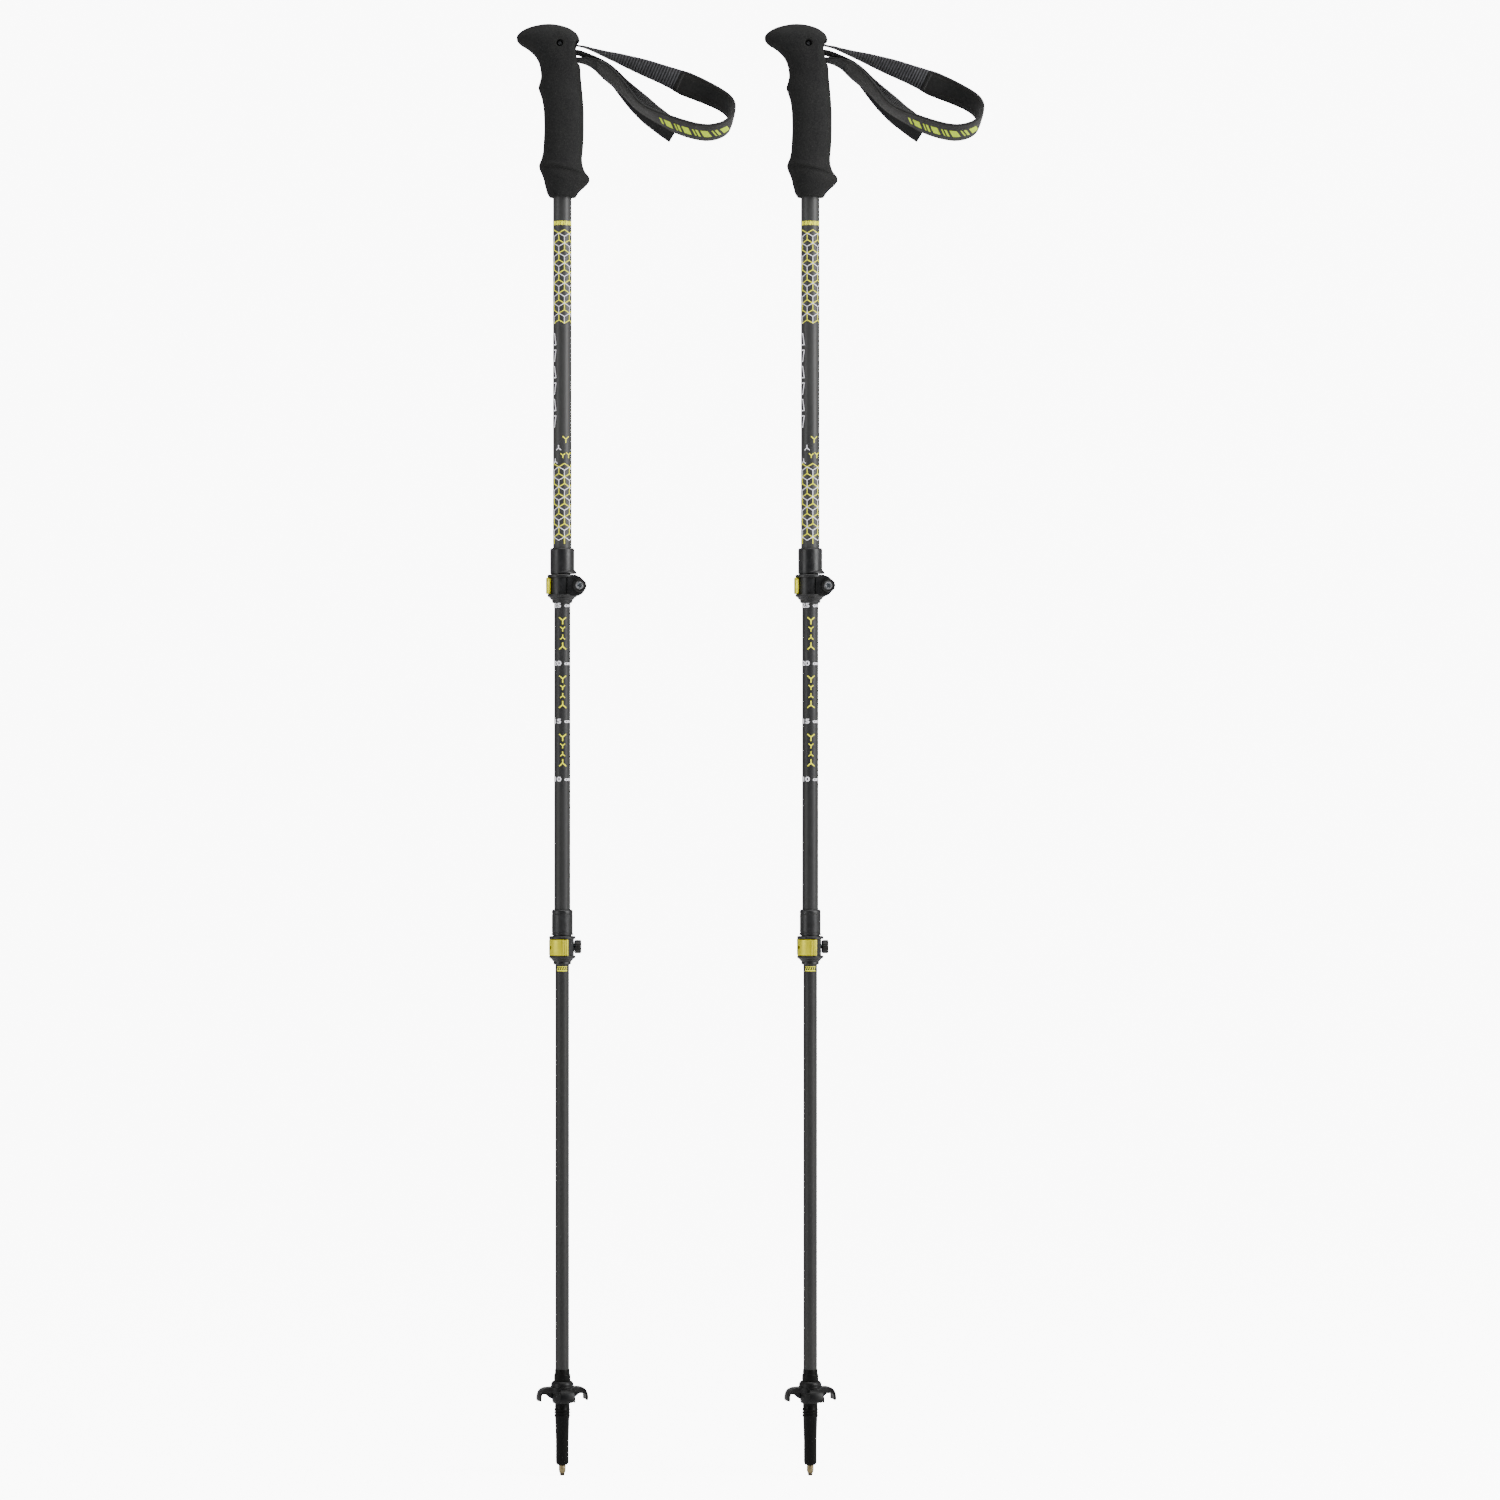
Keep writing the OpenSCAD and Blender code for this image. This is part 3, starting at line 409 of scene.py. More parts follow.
LOOK_BY_PART = {
    "upper_shaft": "upper_tube", "middle_shaft": "middle_tube", "lower_shaft": "lower_tube",
    "grip_core": "core_nylon", "strap_wedge": "core_nylon", "strap_pin": "pin_steel",
    "flex_tip": "tip_polymer", "tip_ferrule": "ferrule_metal", "carbide_tip": "carbide",
    "basket": "basket_polymer", "strap_pad": "pad_out",
}
LOOK_BY_ENDING = {
    "clamp_body": "clamp_nylon", "bushing": "acetal", "guide": "acetal", "knob": "knob_nylon",
    "lever": "lever_alloy", "pad": "steel", "nut": "steel", "screw": "steel",
}


def look_of(part):
    if part in LOOKS:
        return LOOKS[part]
    if part in LOOK_BY_PART:
        return LOOKS[LOOK_BY_PART[part]]
    for ending, key in LOOK_BY_ENDING.items():
        if part.endswith(ending):
            return LOOKS[key]
    return LOOKS["webbing" if part.startswith("strap") else "grip_foam"]


for node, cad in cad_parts.items():
    slots = cad.data.materials
    look = look_of(node.split("_", 1)[1])  # the name without its side
    if not slots:
        slots.append(look)
    for i in range(len(slots)):
        slots[i] = look


# ---------------------------------------------------------------- mesh helpers

def new_object(verts, faces, looks=(), face_looks=None, uvs=None, sharp=None, fix=True):
    """A smooth object from points in millimetres.

    uvs has one entry a vertex, sharp is an angle in degrees, and fix turns all faces outwards.
    """
    mesh = bpy.data.meshes.new("piece")
    mesh.from_pydata((np.asarray(verts, float) * MM).tolist(), [], faces)
    for key in looks:
        mesh.materials.append(LOOKS[key])
    if face_looks is not None:
        mesh.polygons.foreach_set("material_index", np.asarray(face_looks, np.int32))
    if uvs is not None:
        layer = mesh.uv_layers.new(name="UVMap")
        corners = np.zeros(len(mesh.loops), np.int32)
        mesh.loops.foreach_get("vertex_index", corners)
        layer.data.foreach_set("uv", np.asarray(uvs, np.float32)[corners].ravel())
    mesh.shade_smooth()
    if sharp is not None:
        mesh.set_sharp_from_angle(angle=math.radians(sharp))
    mesh.update()
    o = bpy.data.objects.new("piece", mesh)
    bpy.context.scene.collection.objects.link(o)
    if fix:
        bm = bmesh.new()
        bm.from_mesh(mesh)
        bmesh.ops.recalc_face_normals(bm, faces=bm.faces)
        bm.to_mesh(mesh)
        bm.free()
        mesh.update()
    return o


def skin(rings):
    """Points and faces of a closed skin through rings (count, points in a ring, 3)."""
    m, n = rings.shape[:2]
    faces = []
    for k in range(m - 1):
        for i in range(n):
            j = (i + 1) % n
            faces.append((k * n + i, k * n + j, (k + 1) * n + j, (k + 1) * n + i))
    faces.append(tuple(range(n - 1, -1, -1)))
    faces.append(tuple((m - 1) * n + i for i in range(n)))
    return rings.reshape(-1, 3), faces


def gather(pieces):
    """Joins (points, faces) pairs into one."""
    verts, faces, base = [], [], 0
    for v, f in pieces:
        verts.append(v)
        faces += [tuple(base + i for i in face) for face in f]
        base += len(v)
    return np.concatenate(verts), faces


def prism(points, lo, hi, axis):
    """Closed prism of a flat outline. Axis "y" takes (x, z) points, "z" takes (x, y) points."""
    n = len(points)
    if axis == "y":
        verts = [(x, y, z) for y in (lo, hi) for x, z in points]
    else:
        verts = [(x, y, z) for z in (lo, hi) for x, y in points]
    faces = [tuple(range(n - 1, -1, -1)), tuple(range(n, 2 * n))]
    faces += [(i, (i + 1) % n, n + (i + 1) % n, n + i) for i in range(n)]
    return new_object(verts, faces)


def block(x0, x1, y0, y1, z0, z1):
    return prism([(x0, y0), (x1, y0), (x1, y1), (x0, y1)], z0, z1, "z")


def rod(profile, n=64, centre=(0, 0, 0), direction=UP):
    """Turned solid: profile is a list of (distance along direction, radius)."""
    centre, along = np.array(centre, float), np.array(direction, float)
    along /= np.linalg.norm(along)
    a = np.cross(along, UP if abs(along[2]) < 0.9 else (1, 0, 0))
    a /= np.linalg.norm(a)
    b = np.cross(along, a)
    t = np.linspace(0, 2 * math.pi, n, endpoint=False)
    circle = np.outer(np.cos(t), a) + np.outer(np.sin(t), b)
    return new_object(*skin(np.array([centre + along * s + r * circle for s, r in profile])))


def bake(o):
    """Swaps the mesh for what its modifiers make of it."""
    bpy.context.view_layer.update()
    depsgraph = bpy.context.evaluated_depsgraph_get()
    mesh = bpy.data.meshes.new_from_object(o.evaluated_get(depsgraph))
    o.modifiers.clear()
    old = o.data
    o.data = mesh
    bpy.data.meshes.remove(old)


def cut(o, *cutters, op="DIFFERENCE"):
    for cutter in cutters:
        modifier = o.modifiers.new("cut", "BOOLEAN")
        modifier.operation = op
        modifier.object = cutter
        modifier.solver = "MANIFOLD"
        bake(o)
        mesh = cutter.data
        bpy.data.objects.remove(cutter)
        bpy.data.meshes.remove(mesh)
    return o


def turned(o, z, turn):
    """Rotates a mesh about the pole's axis by turn degrees and lifts it by z."""
    co = np.zeros(len(o.data.vertices) * 3)
    o.data.vertices.foreach_get("co", co)
    co = co.reshape(-1, 3)
    c, s = math.cos(math.radians(turn)), math.sin(math.radians(turn))
    x, y = co[:, 0].copy(), co[:, 1].copy()
    co[:, 0], co[:, 1] = x * c - y * s, x * s + y * c
    co[:, 2] += z * MM
    o.data.vertices.foreach_set("co", co.ravel())
    o.data.update()
    return o


def paint(o, key, sharp=32):
    mesh = o.data
    mesh.materials.clear()
    mesh.materials.append(LOOKS[key])
    mesh.polygons.foreach_set("material_index", np.zeros(len(mesh.polygons), np.int32))
    mesh.shade_smooth()
    mesh.set_sharp_from_angle(angle=math.radians(sharp))
    return o


def both(make, part, body, slot, *replaced, blend=None):
    """Puts a piece on both poles. make() builds it on the left one.

    blend holds two points on the piece's way from its body to the strap; they are not used, and
    when blend is given the piece is left on no body.
    """
    left = make()
    left.name = left.data.name = f"left_{part}"
    right = left.copy()
    right.data = left.data.copy()
    bpy.context.scene.collection.objects.link(right)
    right.data.transform(Matrix.Translation((POLE_GAP * MM, 0, 0)))
    right.data.update()
    right.name = right.data.name = f"right_{part}"
    for side, shift, o in (("left", 0.0, left), ("right", POLE_GAP, right)):
        if blend:
            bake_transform(o)
        else:
            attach(o, f"{side}_{body}")
        if replaced:
            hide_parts(*[f"{side}_{name}" for name in replaced])


def hermite(x, xs, ys):
    """Smooth curve through points that never overshoots them."""
    h = np.diff(xs)
    d = np.diff(ys) / h
    m = np.zeros(len(xs))
    for i in range(1, len(xs) - 1):
        if d[i - 1] * d[i] > 0:
            w1, w2 = 2 * h[i] + h[i - 1], h[i] + 2 * h[i - 1]
            m[i] = (w1 + w2) / (w1 / d[i - 1] + w2 / d[i])
    m[0], m[-1] = d[0], d[-1]
    k = np.clip(np.searchsorted(xs, x, side="right") - 1, 0, len(h) - 1)
    t = (x - xs[k]) / h[k]
    return ((1 + 2 * t) * (1 - t) ** 2 * ys[k] + t * (1 - t) ** 2 * h[k] * m[k]
            + t * t * (3 - 2 * t) * ys[k + 1] + t * t * (t - 1) * h[k] * m[k + 1])


def smoothstep(lo, hi, x):
    t = np.clip((x - lo) / (hi - lo), 0, 1)
    return t * t * (3 - 2 * t)


# ---------------------------------------------------------------- grip

GRIP_Z = 1105.5
# height above GRIP_Z, lowest x, highest x, x of the deepest line, half depth along y,
# roundness power of the -x side, and of the +x side
GRIP_ROWS = np.array([
    [0, -11, 11.7, 0.3, 11.3, 2, 2], [1.5, -12, 12.6, 0.3, 12.2, 2, 2],
    [4, -13.4, 14.3, 0.4, 13.2, 2, 2], [6.5, -14, 16.7, 0.8, 14, 2, 2],
    [9, -14.7, 19.5, 1.2, 14.8, 2, 2], [11.7, -15.4, 22.1, 1.5, 15.6, 2.1, 2],
    [14.3, -15.9, 23.7, 1.5, 16.3, 2.1, 2], [17, -16.7, 23.6, 1.3, 16.8, 2.1, 2],
    [19.5, -17.7, 21.9, 1, 17, 2.1, 2], [22, -18.8, 19.9, 0.6, 16.9, 2.1, 2.1],
    [24.7, -19.8, 18.7, 0.4, 16.5, 2, 2.2], [27.2, -20.2, 17.9, 0.4, 15.9, 2, 2.2],
    [30, -19.4, 17.4, 0.5, 15.3, 2, 2.2], [33.5, -18, 17.2, 0.6, 14.9, 2.1, 2.2],
    [40, -16.6, 17.8, 1, 14.6, 2.2, 2.2], [48, -16.1, 18.4, 1.2, 14.5, 2.2, 2.2],
    [60, -15.6, 18.7, 1.5, 14.5, 2.2, 2.2], [72, -15.9, 18.7, 1.5, 14.6, 2.2, 2.2],
    [82, -17, 18.2, 1.2, 14.4, 2.1, 2.2], [89.5, -19.1, 17.6, 0.8, 14.3, 2, 2.2],
    [94.7, -20.7, 17.1, 0.4, 14.2, 2, 2.2], [100, -19.3, 16.6, 0.2, 14, 2, 2.3],
    [105, -18.4, 16.1, 0, 14.1, 2, 2.6], [110.3, -18.9, 15.8, -0.4, 14.6, 2, 3.2],
    [115.5, -20.1, 15.2, -0.8, 15.2, 2, 3.8], [120.7, -22.7, 14.2, -1.2, 15.6, 2, 4],
    [125.9, -27.6, 13, -1.8, 15.9, 2, 4], [128.5, -31, 12.6, -2, 16.1, 2, 4],
    [131, -35.2, 13.2, -2.2, 16.3, 2, 3.9], [133.6, -38.1, 14.4, -2.4, 16.6, 2, 3.6],
    [136.2, -39.4, 15, -2.6, 16.6, 2, 3.3], [138.8, -39.5, 14.3, -3, 16.2, 2, 3],
    [141.4, -38.1, 12.7, -3.6, 15.2, 2, 2.7], [144, -35, 9.8, -4.6, 13.2, 2, 2.5],
    [146.6, -30.2, 5.4, -6.2, 10.2, 2, 2.3], [148.8, -23, -1, -9, 6, 2, 2],
    [149.9, -17, -6.5, -11.5, 2.6, 2, 2],
], float)
GRIP_H = GRIP_ROWS[-1, 0]
# from height, to height, step between rings
GRIP_STEPS = ((0, 14, 1.0), (14, 34, 0.4), (34, 108, 1.0), (108, 144, 0.5), (144, GRIP_H, 0.6))
GRIP_COLUMNS = 208
GRIP_CAP = ((0.7, 0.16), (0.35, 0.24), (0.08, 0.27))  # size and rise of the rings closing the top
PIN_X, PIN_Z, PIN_HOLE_R = -1.7, 1237.3, 2.9
# the strap's mouth on the +x side, (x, z) at its inner and outer ends
MOUTH_TOP = ((8.9, 1240.0), (30, 1238.2))
MOUTH_FLOOR = ((8.9, 1221.4), (30, 1218.8))
MOUTH_Y = 10.9  # half width
# (x, z) outline and half width of the pocket inside the grip's top
POCKET = [(-14.05, 1229.15), (-14.05, 1244.55), (9.05, 1244.55), (9.05, 1217.95),
          (-6.65, 1217.95), (-7.05, 1221.95)]
POCKET_Y = 11.85
# the pole's bore: height above its start, radius
GRIP_BORE = [(0, 10.5), (7.0, 10.5), (7.9, 9.65), (117.55, 9.65)]


def rounding(distance, radius):
    """How far a rounded edge falls back at a distance from the opening."""
    fall = radius - np.sqrt(np.maximum(radius ** 2 - (radius - np.maximum(distance, 0)) ** 2, 0))
    return np.where(distance < radius, fall, 0)


def slanted(x, line):
    (x0, z0), (x1, z1) = line
    return z0 + (x - x0) * (z1 - z0) / (x1 - x0)


def grip_rings():
    """Level sections with evenly spaced points, and a low cap."""
    heights = np.concatenate([np.arange(*step) for step in GRIP_STEPS] + [[GRIP_H]])
    columns = [hermite(heights, GRIP_ROWS[:, 0], GRIP_ROWS[:, k]) for k in range(1, 7)]
    t = np.linspace(0, 2 * math.pi, 1441)
    c, s = np.cos(t), np.sin(t)
    rings = []
    for height, lo, hi, mid, depth, left_power, right_power in zip(heights, *columns):
        power = np.where(c < 0, left_power, right_power)
        reach = np.where(c < 0, mid - lo, hi - mid)
        x = mid + np.sign(c) * np.abs(c) ** (2 / power) * reach
        y = depth * np.sign(s) * np.abs(s) ** (2 / power)
        arc = np.concatenate([[0], np.cumsum(np.hypot(np.diff(x), np.diff(y)))])
        w = np.linspace(0, arc[-1], GRIP_COLUMNS, endpoint=False)
        level = np.full(GRIP_COLUMNS, GRIP_Z + height)
        rings.append(np.stack([np.interp(w, arc, x), np.interp(w, arc, y), level], 1))
    top = rings[-1]
    middle = top[:, :2].mean(0)
    for size, rise in GRIP_CAP:
        ring = top.copy()
        ring[:, :2] = middle + (top[:, :2] - middle) * size
        ring[:, 2] += rise
        rings.append(ring)
    return np.array(rings)


def grip_shell():
    x, y, z = np.moveaxis(grip_rings(), -1, 0).copy()

    # slanted crease over the flared foot: the sides step in below it and swell out above it
    crease = 1130.6 - (x + 6.3) * 0.226 + 0.9 * np.cos((x - 5) / 12.0)
    side = smoothstep(0.25, 0.7, np.abs(y) / 15.0)
    below = crease - z
    dip = 1.35 * np.exp(-np.clip(below, 0, 99) / 6.0) * smoothstep(-0.9, 1.3, below)
    swell = 0.75 * np.exp(-((below + 2.0) / 2.1) ** 2)
    y -= np.sign(y) * (dip - swell) * side

    # rounded lip round the strap's mouth
    dy = np.abs(y) - MOUTH_Y
    dz = np.maximum(z - slanted(x, MOUTH_TOP), slanted(x, MOUTH_FLOOR) - z)
    d = np.hypot(np.maximum(dy, 0), np.maximum(dz, 0))
    x -= np.where(x > 6, rounding(d, 1.7), 0)

    # rounded edges of the pin's holes
    d = np.hypot(x - PIN_X, z - PIN_Z) - PIN_HOLE_R
    y -= np.sign(y) * np.where(np.abs(y) > 8, rounding(d, 0.9), 0)

    # faint unevenness of moulded foam
    y += 0.05 * np.sin(x * 1.3 + z * 0.31) * np.sin(z * 0.47 + 1.0) * np.sign(y)
    o = new_object(*skin(np.stack([x, y, z], -1)))
    cut(
        o,
        rod(GRIP_BORE, 96, centre=(0, 0, GRIP_Z - 5)),
        prism(POCKET, -POCKET_Y, POCKET_Y, "y"),
        prism([*MOUTH_TOP, *MOUTH_FLOOR[::-1]], -MOUTH_Y, MOUTH_Y, "y"),
        rod([(0, PIN_HOLE_R), (60, PIN_HOLE_R)], centre=(PIN_X, -30, PIN_Z), direction=(0, 1, 0)),
    )
    return paint(o, "grip_foam", 38)


both(grip_shell, "grip_shell", "upper", "grip_foam", "grip")


# ---------------------------------------------------------------- strap webbing

# Stations of the strap are [x, y, z, angle, tilt]. The width lies along -y at tilt 0 and leans,
# by tilt degrees, towards the direction at this angle in the xz plane.
WEB_START = [[-9.6, 0, 1241.7, 72, 0], [-2.8, 0, 1241.75, 72, 0], [4.5, 0, 1239.5, 72, 0]]
WEB_RUN = [
    [13.3, 0, 1236.9, 72, -6], [20.5, 0, 1235.3, 71, -4], [28, 0, 1232.7, 70, 0],
    [38, 0, 1229.3, 70, 8], [48, 0.5, 1226.2, 70, 17], [58, 1.5, 1222.8, 70, 26],
    [72, 3.5, 1218.1, 70, 38], [87, 6, 1212.8, 69, 48], [96, 7.5, 1209.4, 68, 59],
    [101, 8.3, 1207.4, 68, 66], [107, 9.2, 1204.9, 68, 64.5],
]
PAD_RUN = [
    [99.5, 8.1, 1208.0, 68, 65],
    [101.3, 8.4, 1207.2, 68, 66], [110.5, 9.6, 1203.4, 67, 63], [119, 10, 1199.9, 66, 58],
    [128, 9, 1195.7, 65, 51], [137, 6.3, 1190.7, 64, 45], [143.6, 2.3, 1185.3, 66, 41],
    [146.9, -2.6, 1179.2, 70, 38], [146.6, -7.6, 1172.5, 74, 36], [143.3, -11.8, 1166.4, 77, 34],
    [136.8, -14.6, 1162, 78, 33], [127, -15.6, 1159.8, 79, 32], [117.2, -15.4, 1160.7, 78, 31],
    [107.3, -14.4, 1163.3, 75, 30], [97.3, -13.2, 1166.9, 70, 27], [87.8, -12, 1171.3, 63, 21],
    [79.5, -11, 1175.4, 57, 16], [71.5, -10.2, 1179.8, 50, 13], [63.6, -9.6, 1186.2, 43, 13],
    [54.9, -8.6, 1196.5, 42, 17], [46.8, -7, 1205.4, 44, 23], [38.6, -5, 1213, 48, 26],
    [32.2, -3.4, 1217.8, 53, 23], [30.9, -3.15, 1218.5, 54, 22],
]
LOW_RUN = [
    [36, -4.2, 1215.2, 50, 25],
    [30.7, -3.1, 1218.6, 54, 22], [25.5, -1.8, 1221.3, 62, 15], [19.6, -0.7, 1223.2, 68, 8],
    [13.6, 0, 1224.3, 72, 4], [5, 0, 1225.2, 72, 0], [-4.2, 0, 1225.95, 72, 0],
]
TAIL_START = [[-10.3, 0, 1241.0, 0, 0], [-10.35, 0, 1237, 0, 0], [-10.1, 0, 1233.2, 30, 0],
              [-8.6, 0, 1232.2, 72, 0], [2, 0, 1231.55, 72, 1]]
TAIL_RUN = [
    [13.4, 0, 1230.7, 74, 4], [18.2, 0.2, 1229.2, 70, 6], [23.6, 0.8, 1226.6, 64, 10],
    [29.4, 1.7, 1223.2, 58, 17], [36.4, 2.8, 1218.3, 52, 25], [43.6, 3.8, 1211.6, 47, 32],
    [50.3, 4.5, 1204, 44, 38], [56.8, 5, 1196.8, 43, 46], [63.8, 5.4, 1189.5, 43, 56],
    [70.2, 5.7, 1183.3, 44, 62], [76.3, 5.8, 1177.6, 46, 64], [83.3, 5.6, 1172.2, 47, 64],
    [90, 5, 1167, 47, 63], [97.2, 4.2, 1161.8, 47, 62],
]
WEB_STEP, PAD_STEP = 0.3, 0.6
WEB_W, PLY_W = 20.0, 10.0


class Band:
    """A flat band along stations, sampled every step millimetres.

    s is the length along it, points its middle line, and along, across and normal its
    directions.
    """

    def __init__(self, stations, step):
        P = np.array(stations, float)
        m = len(P)
        dense = []
        for i in range(m - 1):  # Catmull-Rom curve
            a, b, c, d = P[max(i - 1, 0)], P[i], P[i + 1], P[min(i + 2, m - 1)]
            for t in np.linspace(0, 1, 24, endpoint=False):
                dense.append(0.5 * (2 * b + (c - a) * t + (2 * a - 5 * b + 4 * c - d) * t * t
                                    + (3 * b - a - 3 * c + d) * t ** 3))
        dense = np.array(dense + [P[-1]])
        hops = np.linalg.norm(np.diff(dense[:, :3], axis=0), axis=1)
        s = np.concatenate([[0], np.cumsum(hops)])
        self.length = s[-1]
        self.s = np.linspace(0, self.length, int(self.length / step) + 1)
        even = np.stack([np.interp(self.s, s, dense[:, j]) for j in range(5)], 1)
        p = even[:, :3]
        for _ in range(int(3 / step)):  # take the kinks out of the direction
            p[1:-1] = 0.5 * p[1:-1] + 0.25 * (p[:-2] + p[2:])
        d = np.gradient(p, axis=0)
        d /= np.linalg.norm(d, axis=1, keepdims=True)
        a, t = np.radians(even[:, 3]), np.radians(even[:, 4])
        c = np.stack([np.sin(t) * np.cos(a), -np.cos(t), np.sin(t) * np.sin(a)], 1)
        c -= d * (c * d).sum(1, keepdims=True)
        c /= np.linalg.norm(c, axis=1, keepdims=True)
        self.points, self.along, self.across, self.normal = p, d, c, np.cross(d, c)

    def at(self, s, v, h):
        """Points at length s, v across and h off the middle; +h is the loop's inner face."""
        s, v, h = np.broadcast_arrays(s, v, h)

        def look_up(table):
            return np.stack([np.interp(s, self.s, table[:, k]) for k in range(3)], -1)
        return (look_up(self.points) + v[..., None] * look_up(self.across)
                + h[..., None] * look_up(self.normal))


class Ply(Band):
    """A second layer along another band from x0 to x1, moved v across and h off its face."""

    def __init__(self, base, x0, x1, v, h):
        x = base.points[:, 0]
        k = np.where((x >= x0) & (x <= x1))[0]
        s = base.s[k]
        self.points = base.at(s, v, h)
        self.along, self.across, self.normal = base.along[k], base.across[k], base.normal[k]
        self.s = s - s[0]
        self.length = self.s[-1]


def band_skin(band, width, section, columns, crowding):
    """Rings of a band and their UVs, which hold its length and width in centimetres.

    width(s) is the full width and section(s, v) the half thickness. crowding draws the
    columns towards the edges.
    """
    g = np.linspace(-1, 1, columns)
    rings, uvs = [], []
    for s in band.s:
        v = width(s) / 2 * ((1 + crowding) * g - crowding * g ** 3)
        h = section(s, v)
        rings.append(np.concatenate([band.at(s, v, h), band.at(s, v[::-1], -h[::-1])]))
        uvs.append(np.stack([np.full(2 * columns, s), np.concatenate([v, v[::-1]])], 1))
    return np.array(rings), np.array(uvs).reshape(-1, 2) * 0.1


def web_section(half, pitch, rib_depth, width):
    """Cross ribs that fade into a thin selvedge with rounded edges."""
    def section(s, v):
        edge = np.abs(v) / (width / 2)
        rib = np.abs(np.sin(math.pi * s / pitch)) ** 0.55
        inside = 1 - smoothstep(0.86, 0.97, edge)
        body = half - rib_depth * (1 - rib) * inside - 0.12 * (1 - inside)
        round_off = np.sqrt(np.clip(1 - np.clip((edge - 0.93) / 0.072, 0, 1) ** 2, 0, 1))
        return np.maximum(body * round_off, 0.02)
    return section


def strap_web():
    """The upper run out to the pad, the lower run back to the grip, the tail and its ply."""
    tail = Band(TAIL_START + TAIL_RUN, WEB_STEP)
    ply = Ply(tail, x0=46.0, x1=91.0, v=6.7, h=1.35)
    # band, half thickness, rib pitch, rib depth, width, material slot
    layers = (
        (Band(WEB_START + WEB_RUN, WEB_STEP), 0.85, 2.5, 0.42, WEB_W, 0),
        (Band(LOW_RUN, WEB_STEP), 0.85, 1.65, 0.1, WEB_W, 1),
        (tail, 0.85, 1.65, 0.1, WEB_W, 1),
        (ply, 0.55, 1.65, 0.26, PLY_W, 2),
    )
    pieces, uvs, slots = [], [], []
    for band, half, pitch, depth, width, slot in layers:
        section = web_section(half, pitch, depth, width)
        rings, uv = band_skin(band, lambda s: width, section, columns=17, crowding=0.5)
        pieces.append(skin(rings))
        uvs.append(uv)
        slots += [slot] * len(pieces[-1][1])
    return new_object(*gather(pieces), ("webbing", "webbing_black", "webbing_fine"), slots,
                      np.concatenate(uvs), sharp=55)


both(strap_web, "strap_web", "upper", "webbing", "strap_anchor", "strap_webbing",
     blend=((13.0, 0, 1231.0), (26.0, 0, 1228.5)))


# ---------------------------------------------------------------- strap pad

PAD = Band(PAD_RUN, PAD_STEP)


def pad_width(s):
    return 20.6 + 1.6 * smoothstep(0, 9, min(s, PAD.length - s))


def pad_section(s, v):
    """Half thickness: a padded middle, pinched at the pad's ends, with a sewn valley and a
    rounded binding along each side."""
    half = pad_width(s) / 2
    a = np.abs(v)
    full = smoothstep(0.5, 10, min(s, PAD.length - s))
    crown = 0.95 + (0.38 + 0.5 * full) * np.clip(1 - (a / (half - 2.2)) ** 4, 0, 1) ** 0.6
    crown = crown + 0.05 * full * np.sin(s * 0.9) * np.sin(v * 0.8 + s * 0.13)
    binding = 1.28 * np.sqrt(np.clip(1 - ((a - (half - 1.25)) / 1.27) ** 2, 0, 1))
    sides = np.maximum(binding, np.where(a < half - 1.25, 0.72, 0.0))
    return np.maximum(np.where(a > half - 2.3, sides, crown), 0.02)


def strap_pad():
    columns = 41
    outer, inner, binding = range(3)
    rings, uvs = band_skin(PAD, pad_width, pad_section, columns, crowding=0.35)
    row = []
    for i in range(2 * columns):
        j = i if i < columns else 2 * columns - 1 - i
        if j < 4 or j > columns - 6:
            row.append(binding)
        else:
            row.append(inner if i < columns - 1 else outer)
    slots = row * (len(rings) - 1) + [binding] * 2
    return new_object(*skin(rings), ("pad_out", "pad_in", "binding"), slots, uvs, sharp=60)


both(strap_pad, "strap_pad_cover", "strap", "padded_fabric", "strap_pad")

# part of its length, rise and girth (both in thread radii) along a stitch
STITCH = ((0, -0.8, 0.5), (0.15, 0.1, 0.9), (0.5, 0.55, 1.0), (0.85, 0.1, 0.9), (1, -0.8, 0.5))


def stitch(start, end, radius, up):
    """A short thread that rises out of the cloth and dips back in."""
    along = end - start
    side = np.cross(along / np.linalg.norm(along), up)
    side /= np.linalg.norm(side)
    rise = np.cross(side, along / np.linalg.norm(along))
    t = np.linspace(0, 2 * math.pi, 6, endpoint=False)
    circle = np.outer(np.cos(t), side) + np.outer(np.sin(t), rise)
    return skin(np.array([start + along * part + rise * radius * lift + radius * girth * circle
                          for part, lift, girth in STITCH]))


def pad_stitches():
    out = []
    for face in (1, -1):
        for side in (1, -1):
            s = 2.5
            while s < PAD.length - 4:
                v = side * (pad_width(s) / 2 - 2.35)
                start, end = PAD.at(s, v, face * 0.80), PAD.at(s + 2.1, v, face * 0.80)
                out.append(stitch(start, end, 0.24, face * PAD.normal[np.searchsorted(PAD.s, s)]))
                s += 3.0
        # a row of stitches across each end
        for s, inward in ((1.2, 1), (PAD.length - 1.2, -1)):
            up = face * PAD.normal[np.searchsorted(PAD.s, s)]
            for k in range(22):
                v = -7.7 + k * 0.73
                start = PAD.at(s, v, face * 1.32)
                end = PAD.at(s + inward * 2.3, v + 0.3, face * 1.34)
                out.append(stitch(start, end, 0.2, up))
    return new_object(*gather(out), ("thread",), sharp=60)


both(pad_stitches, "strap_pad_stitches", "strap", "padded_fabric")

BAR_V = (-3.9, 4.1)  # the printed bars' reach across the pad
BAR_LEAN = 3.4
BAR_WIDTHS, BAR_SPACES = (6.2, 2.0, 1.2), (2.4, 1.6, 3.2)


